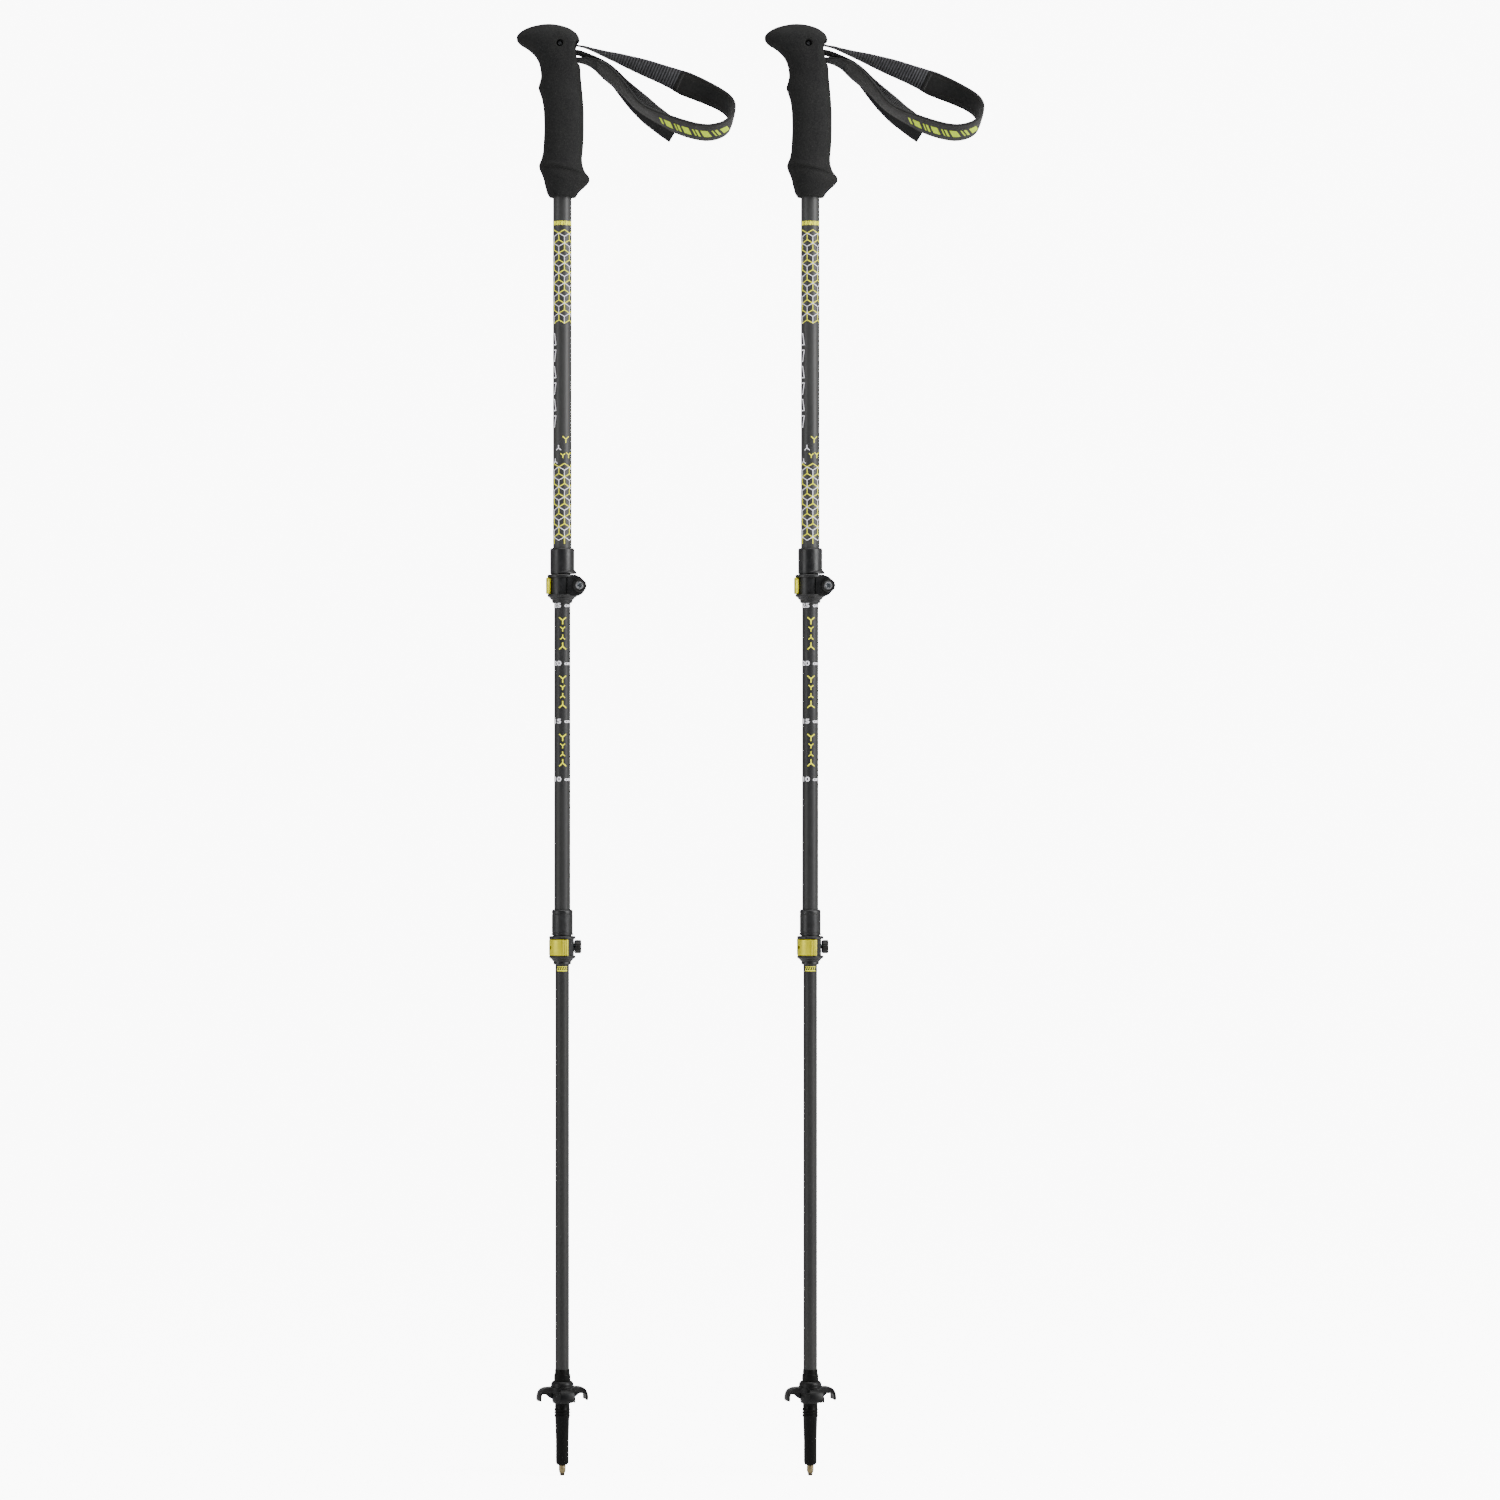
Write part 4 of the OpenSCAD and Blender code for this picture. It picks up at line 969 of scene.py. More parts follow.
def pad_bar(start, width):
    """Closed slanted bar on the pad's outer face."""
    n, m = 10, 12
    g, w = np.meshgrid(np.linspace(0, 1, n), np.linspace(0, 1, m), indexing="ij")
    s = start + g * width + w * BAR_LEAN
    v = BAR_V[0] + w * (BAR_V[1] - BAR_V[0])
    h = np.vectorize(pad_section)(s, v)
    top, low = PAD.at(s, v, -(h + 0.06)), PAD.at(s, v, -(h - 0.06))
    k = n * m
    faces = []
    for i in range(n - 1):
        for j in range(m - 1):
            a, b, c, d = i * m + j, (i + 1) * m + j, (i + 1) * m + j + 1, i * m + j + 1
            faces += [(a, b, c, d), (k + d, k + c, k + b, k + a)]
    rim = [i * m for i in range(n)] + [(n - 1) * m + j for j in range(1, m)]
    rim += [i * m + m - 1 for i in range(n - 2, -1, -1)] + list(range(m - 2, 0, -1))
    for a, b in zip(rim, rim[1:] + rim[:1]):
        faces.append((b, a, k + a, k + b))
    return np.concatenate([top.reshape(-1, 3), low.reshape(-1, 3)]), faces


def pad_print():
    """Slanted bars of three widths by turns, along the pad's lower run."""
    pad_x = PAD.points[:, 0]
    upper_run = PAD.s <= PAD.s[np.argmax(pad_x)]

    def lower_s(x):
        """Length along the pad where its lower run passes this x."""
        return PAD.s[np.argmin(np.abs(pad_x - x) + np.where(upper_run, 1e6, 0))]
    s, end = lower_s(143.5), lower_s(84)
    out = []
    while s < end - 3:
        k = len(out) % 3
        out.append(pad_bar(s, BAR_WIDTHS[k]))
        s += BAR_WIDTHS[k] + BAR_SPACES[k]
    return new_object(*gather(out), ("print_lime",), sharp=50)


both(pad_print, "strap_print", "strap", "padded_fabric")


# ---------------------------------------------------------------- clamps

FLANGE = 2.4  # how far the flange and the lever stand out from the sleeve
CAM_R, CAM_OFFSET, BARREL_R = 4.4, 0.5, 3.0
EAR_INSET = 4.6  # from the screw to the centre of the clamp's and the lever's rounded ends
LEVER_H, LEVER_END = 14.2, 207.0  # height, and the angle in degrees where the lever ends
# angle round the pole in degrees, how far the lever's outer face stands out there
LEVER_FACE = np.array([
    [90, 0], [182, 0], [184.2, 0.1], [185.6, 1.1], [186.4, 1.3], [188.3, 1.3], [189.6, 0.7],
    [191.6, 0.7], [192.8, 1.3], [196.6, 1.3], [197.4, 0.8], [198.6, 0.8], [199.6, 1.3],
    [LEVER_END - 1, 1.3], [LEVER_END, 0.9],
])
# distance from the lever's upper or lower face, inset of its edge there
LEVER_CHAMFER = ((0, 0.55), (0.12, 0.36), (0.5, 0.03), (0.75, 0))
LEVER_HOLE_ANGLE = math.radians(116)


class Clamp(NamedTuple):
    level: str
    body: str
    bore: float  # radius of the tube it grips
    sleeve: float  # its own outer radius
    z: float
    turn: float  # degrees about the pole
    grooves: tuple  # heights of the grooves round the sleeve

    @property
    def flange(self):
        return self.sleeve + FLANGE

    @property
    def screw_x(self):
        return self.sleeve + 5.1

    @property
    def barrel_y(self):
        return self.flange - (CAM_R - CAM_OFFSET)

    @property
    def front_y(self):
        return -(self.sleeve + 0.5)


CLAMPS = (
    Clamp("upper", "upper", TUBE_R["middle"], 10.5, 769.5, 0, ()),
    Clamp("lower", "middle", TUBE_R["lower"], 9.1, 457.0, 90, (12.3, 28.5)),
)


def lever_outline(clamp):
    """(x, y) outline: along the inner face, round the cam, back over the outer face and
    round the sleeve."""
    inner, screw_x = clamp.sleeve + 0.35, clamp.screw_x
    cam_y = clamp.barrel_y - CAM_OFFSET
    points = [(x, inner) for x in np.linspace(0, screw_x - 3.72, 8)]
    start = 180 - math.degrees(math.asin((inner - cam_y) / CAM_R))
    for angle in np.arange(start + 4, 450.1, 4):
        a = math.radians(min(angle, 450))
        points.append((screw_x + CAM_R * math.cos(a), cam_y + CAM_R * math.sin(a)))
    points += [(x, clamp.flange) for x in np.linspace(screw_x - 0.8, 0.6, 7)]
    angles = np.unique(np.concatenate([
        np.arange(90, 182, 1.5), LEVER_FACE[:, 0], np.arange(182, LEVER_END, 0.5)]))
    relief = np.interp(angles, LEVER_FACE[:, 0], LEVER_FACE[:, 1])
    relief[1:-1] = np.convolve(relief, (0.25, 0.5, 0.25), "valid")
    for a, r in zip(np.radians(angles), clamp.flange + relief):
        points.append((r * math.cos(a), r * math.sin(a)))
    for a in np.radians(np.arange(LEVER_END, 90.7, -1.5)):
        points.append((inner * math.cos(a), inner * math.sin(a)))
    return np.array(points)


def edge_normals(steps):
    steps = steps / np.linalg.norm(steps, axis=1, keepdims=True)
    return np.stack([-steps[:, 1], steps[:, 0]], 1)


def lever(clamp):
    outline = lever_outline(clamp)
    inward = (edge_normals(np.roll(outline, -1, 0) - outline)
              + edge_normals(outline - np.roll(outline, 1, 0)))
    inward /= np.maximum((inward * inward).sum(1, keepdims=True) / 2, 0.35)
    half = LEVER_H / 2
    levels = [(d - half, inset) for d, inset in LEVER_CHAMFER]
    levels += [(half - d, inset) for d, inset in LEVER_CHAMFER[::-1]]
    rings = [np.column_stack([outline + inward * inset, np.full(len(outline), z)])
             for z, inset in levels]
    o = new_object(*skin(np.array(rings)))

    screw_x, barrel_y = clamp.screw_x, clamp.barrel_y
    end_x = screw_x - EAR_INSET
    arc = [(end_x + 8.8 * math.cos(a), 0.2 + 8.8 * math.sin(a))
           for a in np.radians(np.linspace(-90, 90, 61))]
    keep = [(-40, -30), (end_x, -30)] + arc + [(end_x, 30), (-40, 30)]
    cut(o, prism(keep, -50, 50, "y"), op="INTERSECT")
    slot_x0, slot_x1 = screw_x - 2.7, screw_x + 17.3
    slot = [(slot_x0, -2.6), (slot_x1, -2.6), (slot_x1, 2.6), (slot_x0, 2.6)]
    barrel = [(0, BARREL_R + 0.05), (40, BARREL_R + 0.05)]
    hole = [(0, 1.75), (FLANGE + 1.55, 1.75), (FLANGE + 2.1, 2.25), (FLANGE + 4, 2.3)]
    outward = np.array([math.cos(LEVER_HOLE_ANGLE), math.sin(LEVER_HOLE_ANGLE), 0])
    cut(
        o,
        rod(barrel, centre=(screw_x, barrel_y, -20)),
        prism(slot, barrel_y - 20, barrel_y + 20, "y"),
        rod(hole, 48, centre=(clamp.sleeve - 2) * outward, direction=outward),
    )
    return paint(turned(o, clamp.z, clamp.turn), "lever_alloy", 30)


def clamp_body(clamp):
    bore, sleeve, flange, screw_x = clamp.bore, clamp.sleeve, clamp.flange, clamp.screw_x
    pad_y = clamp.barrel_y - CAM_R - CAM_OFFSET - 0.05
    profile = [
        (-14.9, bore + 1), (-14.1, bore + 1.75), (-12.4, flange - 3.9), (-11, flange - 2.3),
        (-10.4, flange - 2.2), (-10.1, flange - 1.6), (-9.4, flange - 0.5),
        (-8.9, flange - 0.15), (-8.5, flange), (-7.6, flange), (-7.3, flange - 0.3),
        (-7.3, sleeve), (7.3, sleeve), (7.3, flange - 0.3), (7.6, flange), (9.0, flange),
        (9.7, flange - 0.7), (9.7, sleeve - 0.5), (10.5, sleeve - 0.5),
        (10.5, sleeve - 0.25), (10.75, sleeve),
    ]
    for z in clamp.grooves:
        profile += [(z - 0.1, sleeve), (z + 0.12, sleeve - 0.32), (z + 0.48, sleeve - 0.32),
                    (z + 0.7, sleeve)]
    profile += [(30.9, sleeve), (31.4, sleeve - 0.08), (31.9, sleeve - 0.3),
                (32.4, sleeve - 0.7), (32.6, sleeve - 1.0), (32.7, sleeve - 1.4)]
    o = rod(profile, 160)

    # the rounded ear that carries the screw, and a collar off centre towards it
    ear_x, ear_r, ear_root = screw_x - EAR_INSET, 9, 5.0
    arc = [(ear_x + ear_r * math.cos(a), ear_r * math.sin(a))
           for a in np.radians(np.linspace(-150, 150, 121))]
    root_z = math.sqrt(ear_r ** 2 - (ear_root - ear_x) ** 2)
    ear = [(ear_root, -root_z)] + [q for q in arc if q[0] >= ear_root] + [(ear_root, root_z)]
    collar = [(0, sleeve + 0.1), (0.2, sleeve + 0.3), (1.5, sleeve + 0.3), (3.7, sleeve - 1.7)]
    cut(o, rod(collar, 120, centre=(1.6, 0, 10.5)),
        prism(ear, clamp.front_y, pad_y - 1.52, "y"), op="UNION")
    hollow = [(-20, bore + 0.4), (-13.1, bore + 0.4), (-13.1, bore + 0.97),
              (10.98, bore + 0.97), (10.98, bore + 1.02), (40, bore + 1.02)]
    cut(
        o,
        rod(hollow, 128),
        block(3, 33, -3.6, -2.4, -11.6, 10.5),  # slit along the ear
        block(-3, 37, -30, 30, 9.7, 10.5),  # slit across, above the flange
        rod([(0, 2.3), (60, 2.3)], centre=(screw_x, -30, 0), direction=(0, 1, 0)),
    )
    return turned(paint(o, "clamp_nylon"), clamp.z, clamp.turn)


# depth in front of the clamp's ear, radius
KNOB = [(0, 4.8), (0.3, 5.25), (1.0, 5.9), (5.0, 5.9), (5.6, 5.68), (6.0, 5.3), (6.12, 4.7),
        (6.1, 4.3), (5.9, 3.95)]
KNOB_DISH = [(2.05, 3.52), (5.5, 3.56), (6.4, 3.9), (7.5, 4.2)]
KNOB_FLUTES = 12


def knob(clamp):
    x, y = clamp.screw_x, clamp.front_y - 0.3

    def forward(profile, n, dx=0.0, y=y, z=0.0):
        return rod(profile, n, centre=(x + dx, y, z), direction=(0, -1, 0))
    o = forward(KNOB, 144)
    cut(o, forward([(0, 2.0), (9, 2.0)], 48, y=y + 1), forward(KNOB_DISH, 72))
    for k in range(KNOB_FLUTES):
        a = math.radians(360 / KNOB_FLUTES * k + 15)
        flute = [(0, 1.15), (9, 1.15)]
        cut(o, forward(flute, 32, dx=6.75 * math.cos(a), y=y + 1, z=6.75 * math.sin(a)))
    return turned(paint(o, "knob_nylon"), clamp.z, clamp.turn)


for clamp in CLAMPS:
    both(lambda: lever(clamp), f"{clamp.level}_lever_plate", f"{clamp.level}_lever_body",
         "lever_alloy", f"{clamp.level}_lever")
for clamp in CLAMPS:
    both(lambda: clamp_body(clamp), f"{clamp.level}_clamp_shell", clamp.body, "clamp_nylon",
         f"{clamp.level}_clamp_body")
for clamp in CLAMPS:
    both(lambda: knob(clamp), f"{clamp.level}_knob_ring", f"{clamp.level}_screw",
         "clamp_nylon", f"{clamp.level}_screw_knob")


# ---------------------------------------------------------------- tip

# Profiles are (z, radius).
TIP_FOOT = [(9.6, 4.5), (10.1, 4.85), (10.9, 5.3), (11.5, 5.5), (12.2, 5.6), (30, 5.6),
            (37, 5.8), (50.6, 6.25), (51.3, 6.7)]
TIP_NECK = [(58.5, 6.4), (62.2, 6.4)]
TIP_HEAD = [(82.2, 6.9), (82.3, 7.1), (84, 7.2), (87.0, 7.12), (87.3, 7.1), (87.8, 6.9),
            (88, 6.5), (91.6, 6.4), (92.0, 6.3), (92.1, 6.2)]
TIP_HOLLOW = [(5, 2.52), (31, 2.52), (31, 4.2), (65.98, 4.2), (65.98, 6.02), (99, 6.02)]
# rise above a ring's or a step's start, radius
TIP_RING = [(0, 6.7), (0.15, 6.85), (1.1, 6.85), (1.25, 6.7)]
TIP_GROOVE = [(1.45, 6.35), (2.1, 6.35)]
TIP_STEP = [(0, 6.9), (3.0, 6.9), (3.5, 7.3), (4.3, 7.3), (4.8, 6.9)]
FERRULE = [(2.6, 2.45), (2.75, 2.55), (4.4, 2.95), (5, 3.05), (8.9, 3.05), (9.3, 2.9),
           (9.55, 2.7), (9.55, 2.5), (30, 2.5)]
# radius, z, height of the eight teeth round the ring; the end face dips to a cup
POINT = ((0.35, 0.62, 0), (0.95, 0.42, 0), (1.32, 0.0, 0.22), (1.6, 0.16, 0.1), (2.0, 0.85, 0),
         (2.1, 1.0, 0), (2.1, 2.55, 0), (1.5, 2.55, 0), (1.5, 8.8, 0))


def raised(profile, start):
    return [(start + z, r) for z, r in profile]


def tip():
    outer = TIP_FOOT + raised(TIP_RING + TIP_GROOVE, 51.6) + raised(TIP_RING + TIP_GROOVE, 54.1)
    outer += raised(TIP_RING, 56.5) + TIP_NECK
    for z in (62.6, 67.4, 72.2):
        outer += raised(TIP_STEP, z)
    return paint(cut(rod(outer + TIP_HEAD, 128), rod(TIP_HOLLOW, 96)), "tip_polymer")


def ferrule_cup():
    return paint(cut(rod(FERRULE, 96), rod([(0, 1.52), (9, 1.52)])), "ferrule_metal")


def carbide_point():
    t = np.linspace(0, 2 * math.pi, 96, endpoint=False)
    teeth = 0.5 + 0.5 * np.cos(8 * t)
    rings = [np.stack([r * np.cos(t), r * np.sin(t), z + tooth * teeth], 1)
             for r, z, tooth in POINT]
    return paint(new_object(*skin(np.array(rings))), "carbide", 40)


both(tip, "tip_shell", "lower", "tip_polymer", "flex_tip")
both(ferrule_cup, "ferrule_cup", "lower", "ferrule_metal", "tip_ferrule")
both(carbide_point, "carbide_point", "lower", "carbide", "carbide_tip")


# ---------------------------------------------------------------- basket

BASKET_R = 22.6
BASKET_BORE_R = 7.35
# Profiles are (z, radius).
HUB_FOOT = [(63.0, 8.0), (64.4, 8.6), (67.6, 9.2), (71.4, 9.6), (72.4, 9.6)]
HUB_GROOVES = [(72.6, 9.5), (72.9, 9.2), (73.7, 9.2), (73.95, 9.55), (74.2, 9.7), (75.3, 9.7),
               (75.55, 9.6), (75.8, 9.2), (76.5, 9.2), (76.75, 9.6)]
HUB_TOP = [(77, 9.8), (79.2, 9.8), (80.4, 9.4), (81.5, 8.6), (82.1, 7.8)]
DISH_TOP = [(76.3, 8.6), (76.9, 12), (76.8, 15.4), (75.8, 18.6), (73.8, BASKET_R - 1.7),
            (71, BASKET_R - 0.5), (67.6, BASKET_R), (66, BASKET_R - 0.1), (65.2, BASKET_R - 0.9)]
DISH_UNDER = [(65.2, BASKET_R - 2.2), (69.2, BASKET_R - 2.4), (71.6, BASKET_R - 3.6),
              (72.9, 16.4), (72.7, 13), (71.4, 8.6)]
# (distance from the axis, z) outline of a rib under the dish
RIB = [(8.6, 67), (8.6, 74), (20.5, 72.5), (20.9, 68.2), (19.4, 70.6), (15, 70.6), (10.5, 67)]
NOTCH_R, NOTCH_X = 10.4, 22  # round bites out of the rim


def soft_profile(points, n):
    """Rounds a profile, with n steps between points, by a curve that never overshoots."""
    P = np.array(points, float)
    s = np.concatenate([[0], np.cumsum(np.hypot(*np.diff(P, axis=0).T))])
    q = np.unique(np.concatenate([np.linspace(a, b, n + 1) for a, b in zip(s, s[1:])]))
    return list(zip(hermite(q, s, P[:, 0]), hermite(q, s, P[:, 1])))


def dish_ring():
    """The closed dish section swept round the axis."""
    loop = np.array(soft_profile(DISH_TOP, 5) + soft_profile(DISH_UNDER, 5))
    n, m = 168, len(loop)
    rings = np.stack([
        np.stack([loop[:, 1] * math.cos(a), loop[:, 1] * math.sin(a), loop[:, 0]], 1)
        for a in np.linspace(0, 2 * math.pi, n, endpoint=False)])
    faces = []
    for k in range(n):
        ahead = (k + 1) % n
        for i in range(m):
            j = (i + 1) % m
            faces.append((k * m + i, k * m + j, ahead * m + j, ahead * m + i))
    return new_object(rings.reshape(-1, 3), faces)


def basket():
    hub = rod([(62.8, 7.9)] + soft_profile(HUB_FOOT, 4) + HUB_GROOVES + soft_profile(HUB_TOP, 5),
              144)
    dish = dish_ring()
    notch = [(NOTCH_X + NOTCH_R * math.cos(u), NOTCH_R * math.sin(u))
             for u in np.linspace(math.pi / 2, 1.5 * math.pi, 49)]
    notch += [(42, -NOTCH_R), (42, NOTCH_R)]
    for k in range(4):
        a = math.radians(45 + 90 * k)
        c, s = math.cos(a), math.sin(a)
        cut(dish, prism([(x * c - y * s, x * s + y * c) for x, y in notch], 50, 90, "z"))
    for k in range(4):
        for j in (-1.5, -0.5, 0.5, 1.5):  # scallops in the rim's lower edge
            a = math.radians(90 * k + 9 * j)
            c, s = math.cos(a), math.sin(a)
            cut(dish, rod([(0, 1.05), (12, 1.05)], 24, (15 * c, 15 * s, 64.9), (c, s, 0)))
    for k in range(4):
        cut(dish, turned(prism(RIB, -0.8, 0.8, "y"), 0, 90 * k), op="UNION")
    turned(dish, 0, 15)
    cut(hub, dish, op="UNION")
    cut(hub, rod([(50, BASKET_BORE_R), (90, BASKET_BORE_R)], 96))

    # round every edge a little, as moulding does
    remesh = hub.modifiers.new("remesh", "REMESH")
    remesh.mode = "VOXEL"
    remesh.voxel_size = 0.00028  # metres
    remesh.adaptivity = 0.0
    smooth = hub.modifiers.new("smooth", "SMOOTH")
    smooth.factor = 0.5
    smooth.iterations = 4
    lean = hub.modifiers.new("lean", "DECIMATE")
    lean.decimate_type = "COLLAPSE"
    lean.ratio = 0.16
    bake(hub)
    return paint(hub, "basket_polymer", 60)


both(basket, "basket_shell", "basket_body", "basket_polymer", "basket")


# ---------------------------------------------------------------- prints on the shafts

# Strokes are (u0, z0, u1, z1, width), where u is the arc length round the tube from its front,
# counted towards +x.
CELL = 2 * math.pi * TUBE_R["upper"] / 10
CELL_EDGE = 17.3 / 3
LATTICE_U = TUBE_R["upper"] * math.asin(2.2 / TUBE_R["upper"])
# z of the first mark or figure on the middle tube, and the pitch going down
MARK_Z, MARK_PITCH = 739.575, 50.4295
FIGURE_Z, FIGURE_PITCH = 752.6365, 50.05755
# drop below the mark's z, size, stroke width, upright
MARK_STARS = ((0, 5.8, 0.95, True), (7.4, 3.9, 0.78, True), (14.7, 3.9, 0.78, False),
              (22.5, 5.8, 0.95, False))
# (u, z, size) of the loose stars on the upper tube
LOOSE_STARS = ((3.5, 896, 5.4), (-3.0, 888.5, 4.2), (6.2, 882.5, 4.6), (-6.5, 877, 4.2),
               (0.8, 882, 3.6))
LIMIT_Z = 439.2
SINK = 0.05  # how far a print reaches into its tube


def stroke(u0, z0, u1, z1, width, radius, lift):
    """A straight printed line bent round a tube, as a thin closed shell."""
    along = np.array([u1 - u0, z1 - z0], float)
    length = np.linalg.norm(along)
    along /= length
    side = np.array([-along[1], along[0]])
    k = max(2, int(abs(u1 - u0) / 0.9) + 2)
    across = np.array([-width / 2, 0, width / 2])[:, None] * side
    rings = []
    for s in np.linspace(-width * 0.25, length + width * 0.25, k):
        q = np.array([u0, z0]) + along * s + across
        a = q[:, 0] / radius
        top, low = (np.stack([r * np.sin(a), -r * np.cos(a), q[:, 1]], 1)
                    for r in (radius + lift, radius - SINK))
        rings.append(np.concatenate([top, low[::-1]]))
    return skin(np.array(rings))


def printed(part, body, look, strokes, lift=0.05):
    def make():
        pieces = [stroke(*s, TUBE_R[body], lift) for s in strokes]
        return new_object(*gather(pieces), (look,), sharp=40)
    both(make, part, body, f"{body}_tube")


def lattice(top, bottom, width):
    """Rhombille lattice hanging from its top apex: yellow and white strokes."""
    yellow, white = [], []
    first = top - 2 * CELL_EDGE
    for column in range(-4, 6):
        u = LATTICE_U + column * CELL
        for k in range(-2, 12):
            # a point where six strokes meet
            z = first - 3 * CELL_EDGE * k - (1.5 * CELL_EDGE if column % 2 else 0)
            for strokes, sign, w in ((yellow, -1, width), (white, 1, 0.82 * width)):
                for du, dz in ((0, CELL_EDGE), (-CELL, -CELL_EDGE / 2), (CELL, -CELL_EDGE / 2)):
                    z1 = z + sign * dz
                    if bottom <= min(z, z1) and max(z, z1) <= top + 0.1:
                        strokes.append((u, z, u + du, z1, w))
    return yellow, white


def star(u, z, size, width, upright):
    """Three arms from one point; upright has one arm pointing down."""
    k = 1 if upright else -1
    return [(u, z, u, z - k * size * 0.55, width),
            (u, z, u - size * 0.5, z + k * size * 0.42, width),
            (u, z, u + size * 0.5, z + k * size * 0.42, width)]


def leaning_box(u, z, lean):
    """Outlined parallelogram whose top leans towards +u."""
    du, dz = 5.4 / 2, 9.6 / 2
    a = [(u - du - lean, z - dz), (u + du - lean, z - dz),
         (u + du + lean, z + dz), (u - du + lean, z + dz)]
    return [(*a[i], *a[(i + 1) % 4], 0.85) for i in range(4)]


def upper_prints():
    yellow, white = lattice(top=1076.9, bottom=995.0, width=0.66)
    more_yellow, more_white = lattice(top=875.0, bottom=803.5, width=0.7)
    yellow += more_yellow
    white += more_white
    # a row of short slanted dashes above the lattice, thick and thin by turns
    for k in range(-2, 3):
        thick, thin = k * 4.1 + 0.2, k * 4.1 + 2.2
        yellow.append((thick - 0.4, 1081.6, thick + 0.4, 1084.0, 2.1))
        yellow.append((thin - 0.4, 1081.2, thin + 0.4, 1084.4, 0.8))
    # outlined boxes down the -x side
    for k in range(6):
        white += leaning_box(-9.3, 982.5 - 14.2 * k, 0.9 if k % 2 else -0.9)
    for k, (u, z, size) in enumerate(LOOSE_STARS):
        even = k % 2 == 0
        (yellow if even else white).extend(star(u, z, size, 0.8, even))
    printed("upper_print_yellow", "upper", "print_yellow", yellow)
    printed("upper_print_white", "upper", "print_white", white, lift=0.06)


def middle_marks():
    strokes = []
    for k in range(3):
        for drop, size, width, upright in MARK_STARS:
            strokes += star(0.6, MARK_Z - MARK_PITCH * k - drop, size, width, upright)
    printed("middle_print_marks", "middle", "print_yellow", strokes)


def lettering(text, z, height, u, align):
    """Printed text bent round the middle tube as a thin shell."""
    curve = bpy.data.curves.new("figures", "FONT")
    curve.body = text
    curve.size = height / 0.7
    curve.align_x = align
    curve.align_y = "CENTER"
    curve.offset = 0.035 * curve.size
    curve.resolution_u = 6
    o = bpy.data.objects.new("figures", curve)
    bpy.context.scene.collection.objects.link(o)
    bpy.context.view_layer.update()
    depsgraph = bpy.context.evaluated_depsgraph_get()
    mesh = bpy.data.meshes.new_from_object(o.evaluated_get(depsgraph))
    bpy.data.objects.remove(o)
    bm = bmesh.new()
    bm.from_mesh(mesh)
    bpy.data.meshes.remove(mesh)
    bmesh.ops.remove_doubles(bm, verts=bm.verts, dist=1e-4)
    ys = [v.co.y for v in bm.verts]
    middle = (min(ys) + max(ys)) / 2
    for v in bm.verts:
        v.co.x *= 1.5
        v.co.y -= middle
    xs = [v.co.x for v in bm.verts]
    for x in np.arange(min(xs) + 0.35, max(xs), 0.5):  # upright cuts let it bend
        bmesh.ops.bisect_plane(bm, geom=bm.verts[:] + bm.edges[:] + bm.faces[:],
                               plane_co=(x, 0, 0), plane_no=(1, 0, 0))
    extruded = bmesh.ops.extrude_face_region(bm, geom=bm.faces[:])
    for e in extruded["geom"]:
        if isinstance(e, bmesh.types.BMVert):
            e.co.z += 0.1
    for v in bm.verts:
        a = (v.co.x + u) / TUBE_R["middle"]
        r = TUBE_R["middle"] - SINK + v.co.z
        v.co = (r * math.sin(a), -r * math.cos(a), z + v.co.y)
    bmesh.ops.recalc_face_normals(bm, faces=bm.faces)
    bm.verts.index_update()
    verts = np.array([v.co[:] for v in bm.verts])
    faces = [tuple(v.index for v in f.verts) for f in bm.faces]
    bm.free()
    return verts, faces


def middle_numbers():
    out = []
    for k, label in enumerate(("125", "120", "115", "110")):
        z = FIGURE_Z - FIGURE_PITCH * k
        out.append(lettering(label, z, height=3.8, u=-0.6, align="RIGHT"))
        out.append(lettering("cm", z - 0.45, height=2.8, u=2.2, align="LEFT"))
    return new_object(*gather(out), ("print_white",), sharp=40, fix=False)


def lower_limit():
    """Slanted dashes between two lines."""
    strokes = [(-4.6, LIMIT_Z - 2.3, 4.6, LIMIT_Z - 2.3, 0.9),
               (-4.6, LIMIT_Z + 1.2, 4.6, LIMIT_Z + 1.2, 0.5)]
    for k in range(-2, 3):
        strokes.append((k * 2.0 - 0.5, LIMIT_Z - 1.3, k * 2.0 + 0.3, LIMIT_Z + 0.5, 0.6))
    printed("lower_print_limit", "lower", "print_yellow", strokes)


upper_prints()
middle_marks()
both(middle_numbers, "middle_print_numbers", "middle", "middle_tube")
lower_limit()


# ---------------------------------------------------------------- studio, in metres

WHITE = rgb(1, 1, 1)
BACKDROP_GLOW = 9.0  # strength of the white that the camera sees directly


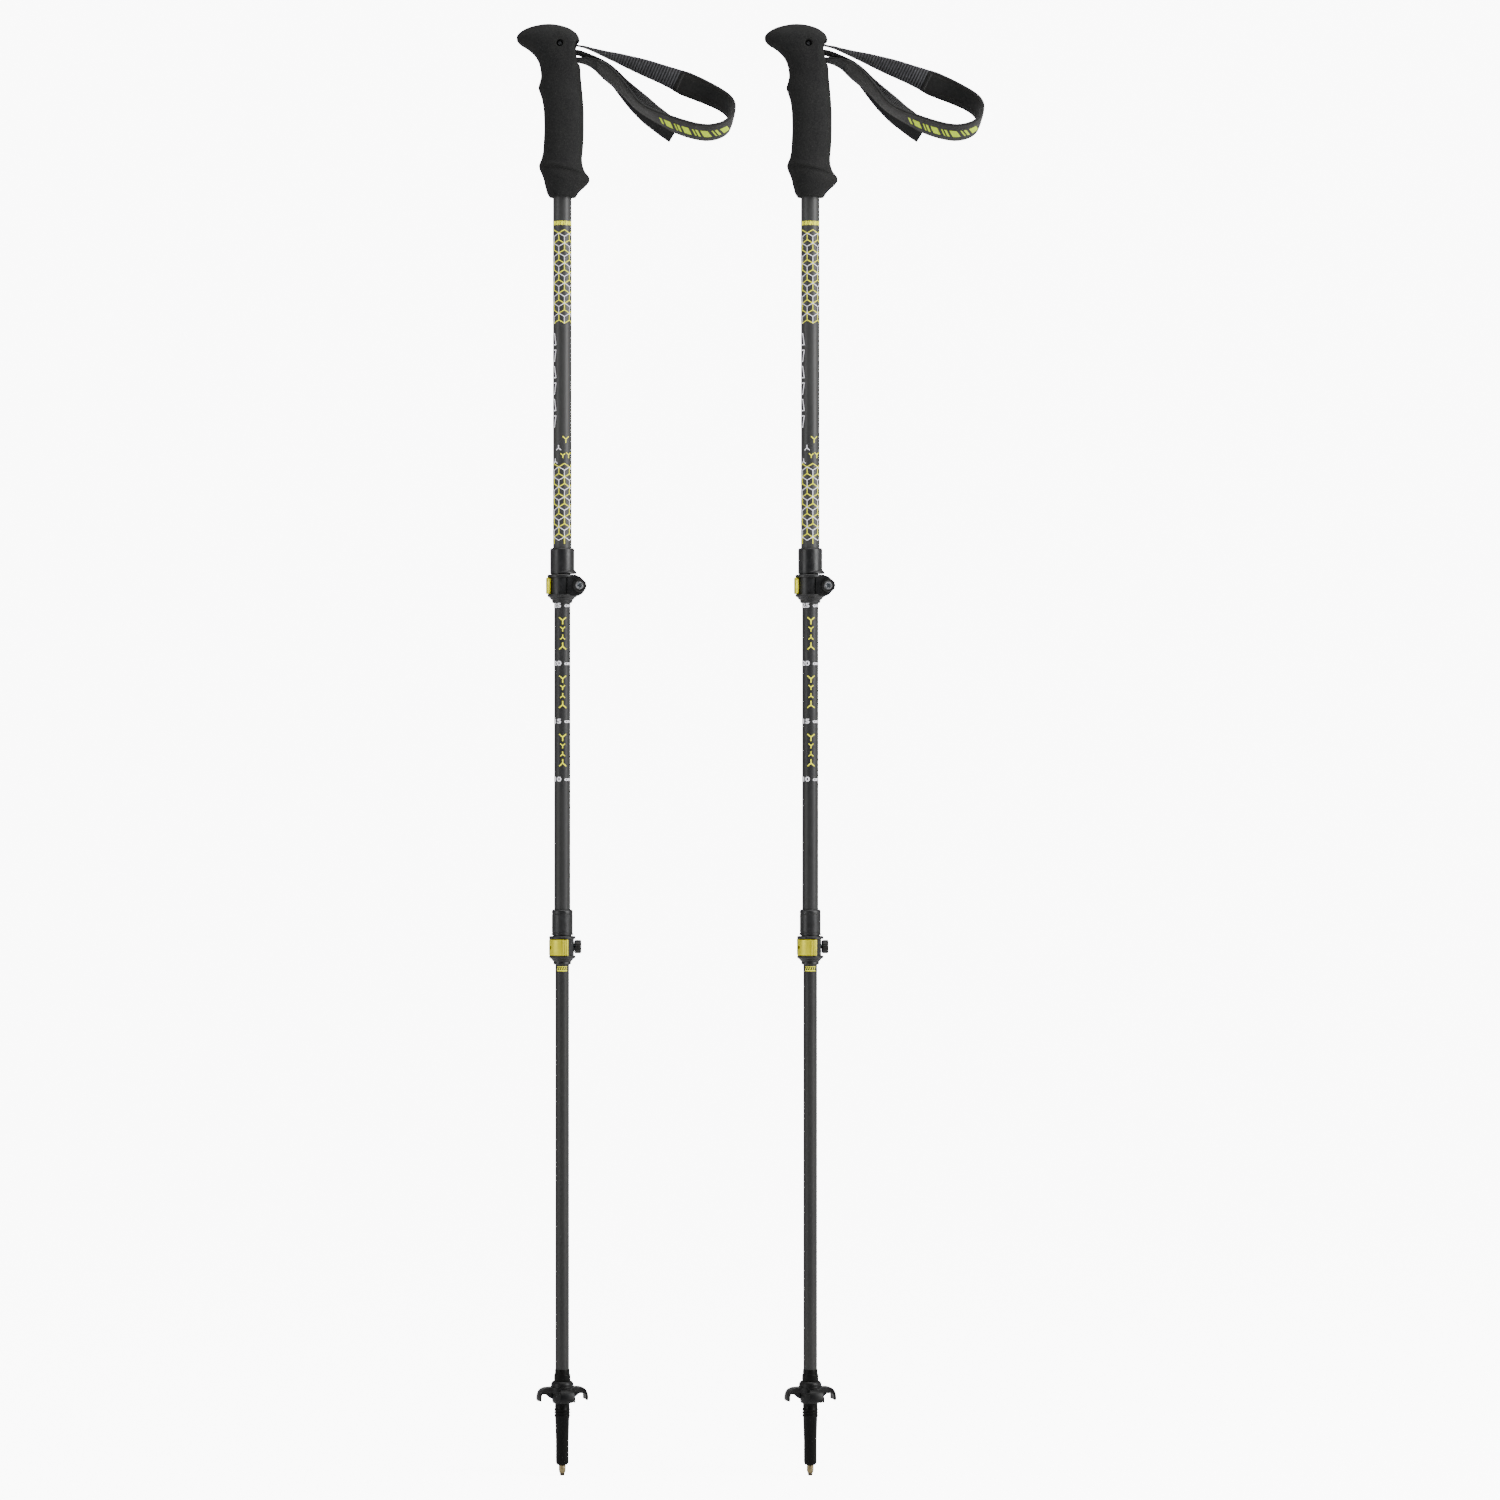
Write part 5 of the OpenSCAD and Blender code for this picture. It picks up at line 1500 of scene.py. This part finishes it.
def studio_floor():
    """White paper that curves up into a wall behind the poles."""
    floor_y, bend = 2.6, 1.6
    profile = [(-9.0, 0.0), (floor_y, 0.0)]
    for a in np.radians(np.linspace(0, 90, 16)):
        profile.append((floor_y + bend * math.sin(a), bend - bend * math.cos(a)))
    profile.append((floor_y + bend, 7.0))
    verts = [(x, y, z) for y, z in profile for x in (-7.0, 7.3)]
    faces = [(2 * k, 2 * k + 1, 2 * k + 3, 2 * k + 2) for k in range(len(profile) - 1)]
    mesh = bpy.data.meshes.new("studio_floor")
    mesh.from_pydata(verts, [], faces)
    mesh.shade_smooth()
    o = bpy.data.objects.new("studio_floor", mesh)
    bpy.context.scene.collection.objects.link(o)
    m = Look("studio paper")
    colour = m.mottle(m.noise(scale=6, detail=3), rgb(0.86, 0.86, 0.86), rgb(0.9, 0.9, 0.9))
    seen = m.add("ShaderNodeLightPath").outputs["Is Camera Ray"]
    mesh.materials.append(m.finish(color=colour, rough=0.9, spec=0.1, emit=WHITE,
                                   emit_w=m.times(seen, BACKDROP_GLOW)))


def studio_world():
    """Dark in front of the poles and pale to the sides, so round parts are dark along the
    middle. Seen directly it is as white as the paper."""
    world = bpy.data.worlds.new("studio")
    bpy.context.scene.world = world
    world.use_nodes = True
    g = Graph(world.node_tree)
    direction = g.xyz(g.add("ShaderNodeTexCoord").outputs["Generated"])
    front = g.ramp(direction["Y"], over=(-0.95, -0.1), to=(0.06, 0.62),
                   interpolation_type="SMOOTHSTEP")
    side = g.ramp(direction["X"], over=(-1.0, 1.0), to=(0.7, 1.25))
    seen = g.add("ShaderNodeLightPath").outputs["Is Camera Ray"]
    strength = g.math("MULTIPLY_ADD", seen, BACKDROP_GLOW, g.times(front, side))
    background = g.tree.nodes["Background"]
    g.put(background.inputs[0], WHITE)
    g.put(background.inputs[1], strength)


def area_light(name, place, aim, width, height, power):
    light = bpy.data.lights.new(name, "AREA")
    light.shape = "RECTANGLE"
    light.size = width
    light.size_y = height
    light.energy = power
    o = bpy.data.objects.new(name, light)
    bpy.context.scene.collection.objects.link(o)
    o.location = place
    o.rotation_euler = (Vector(aim) - Vector(place)).to_track_quat("-Z", "Y").to_euler()


def camera():
    data = bpy.data.cameras.new("camera")
    data.lens = 120
    data.sensor_width = 36
    data.clip_start = 0.05
    data.clip_end = 60
    o = bpy.data.objects.new("camera", data)
    bpy.context.scene.collection.objects.link(o)
    o.location = (0.1624, -4.325, 0.6276)
    o.rotation_euler = (math.radians(90), 0, 0)
    bpy.context.scene.camera = o


studio_floor()
studio_world()
area_light("key", (2.9, -1.5, 1.9), aim=(0.12, 0, 0.62), width=1.6, height=2.6, power=175)
area_light("fill", (-3.0, -1.9, 1.2), aim=(0.12, 0, 0.62), width=1.6, height=2.6, power=55)
area_light("top", (0.2, -0.6, 3.4), aim=(0.12, 0, 0.6), width=2.2, height=2.2, power=55)
camera()
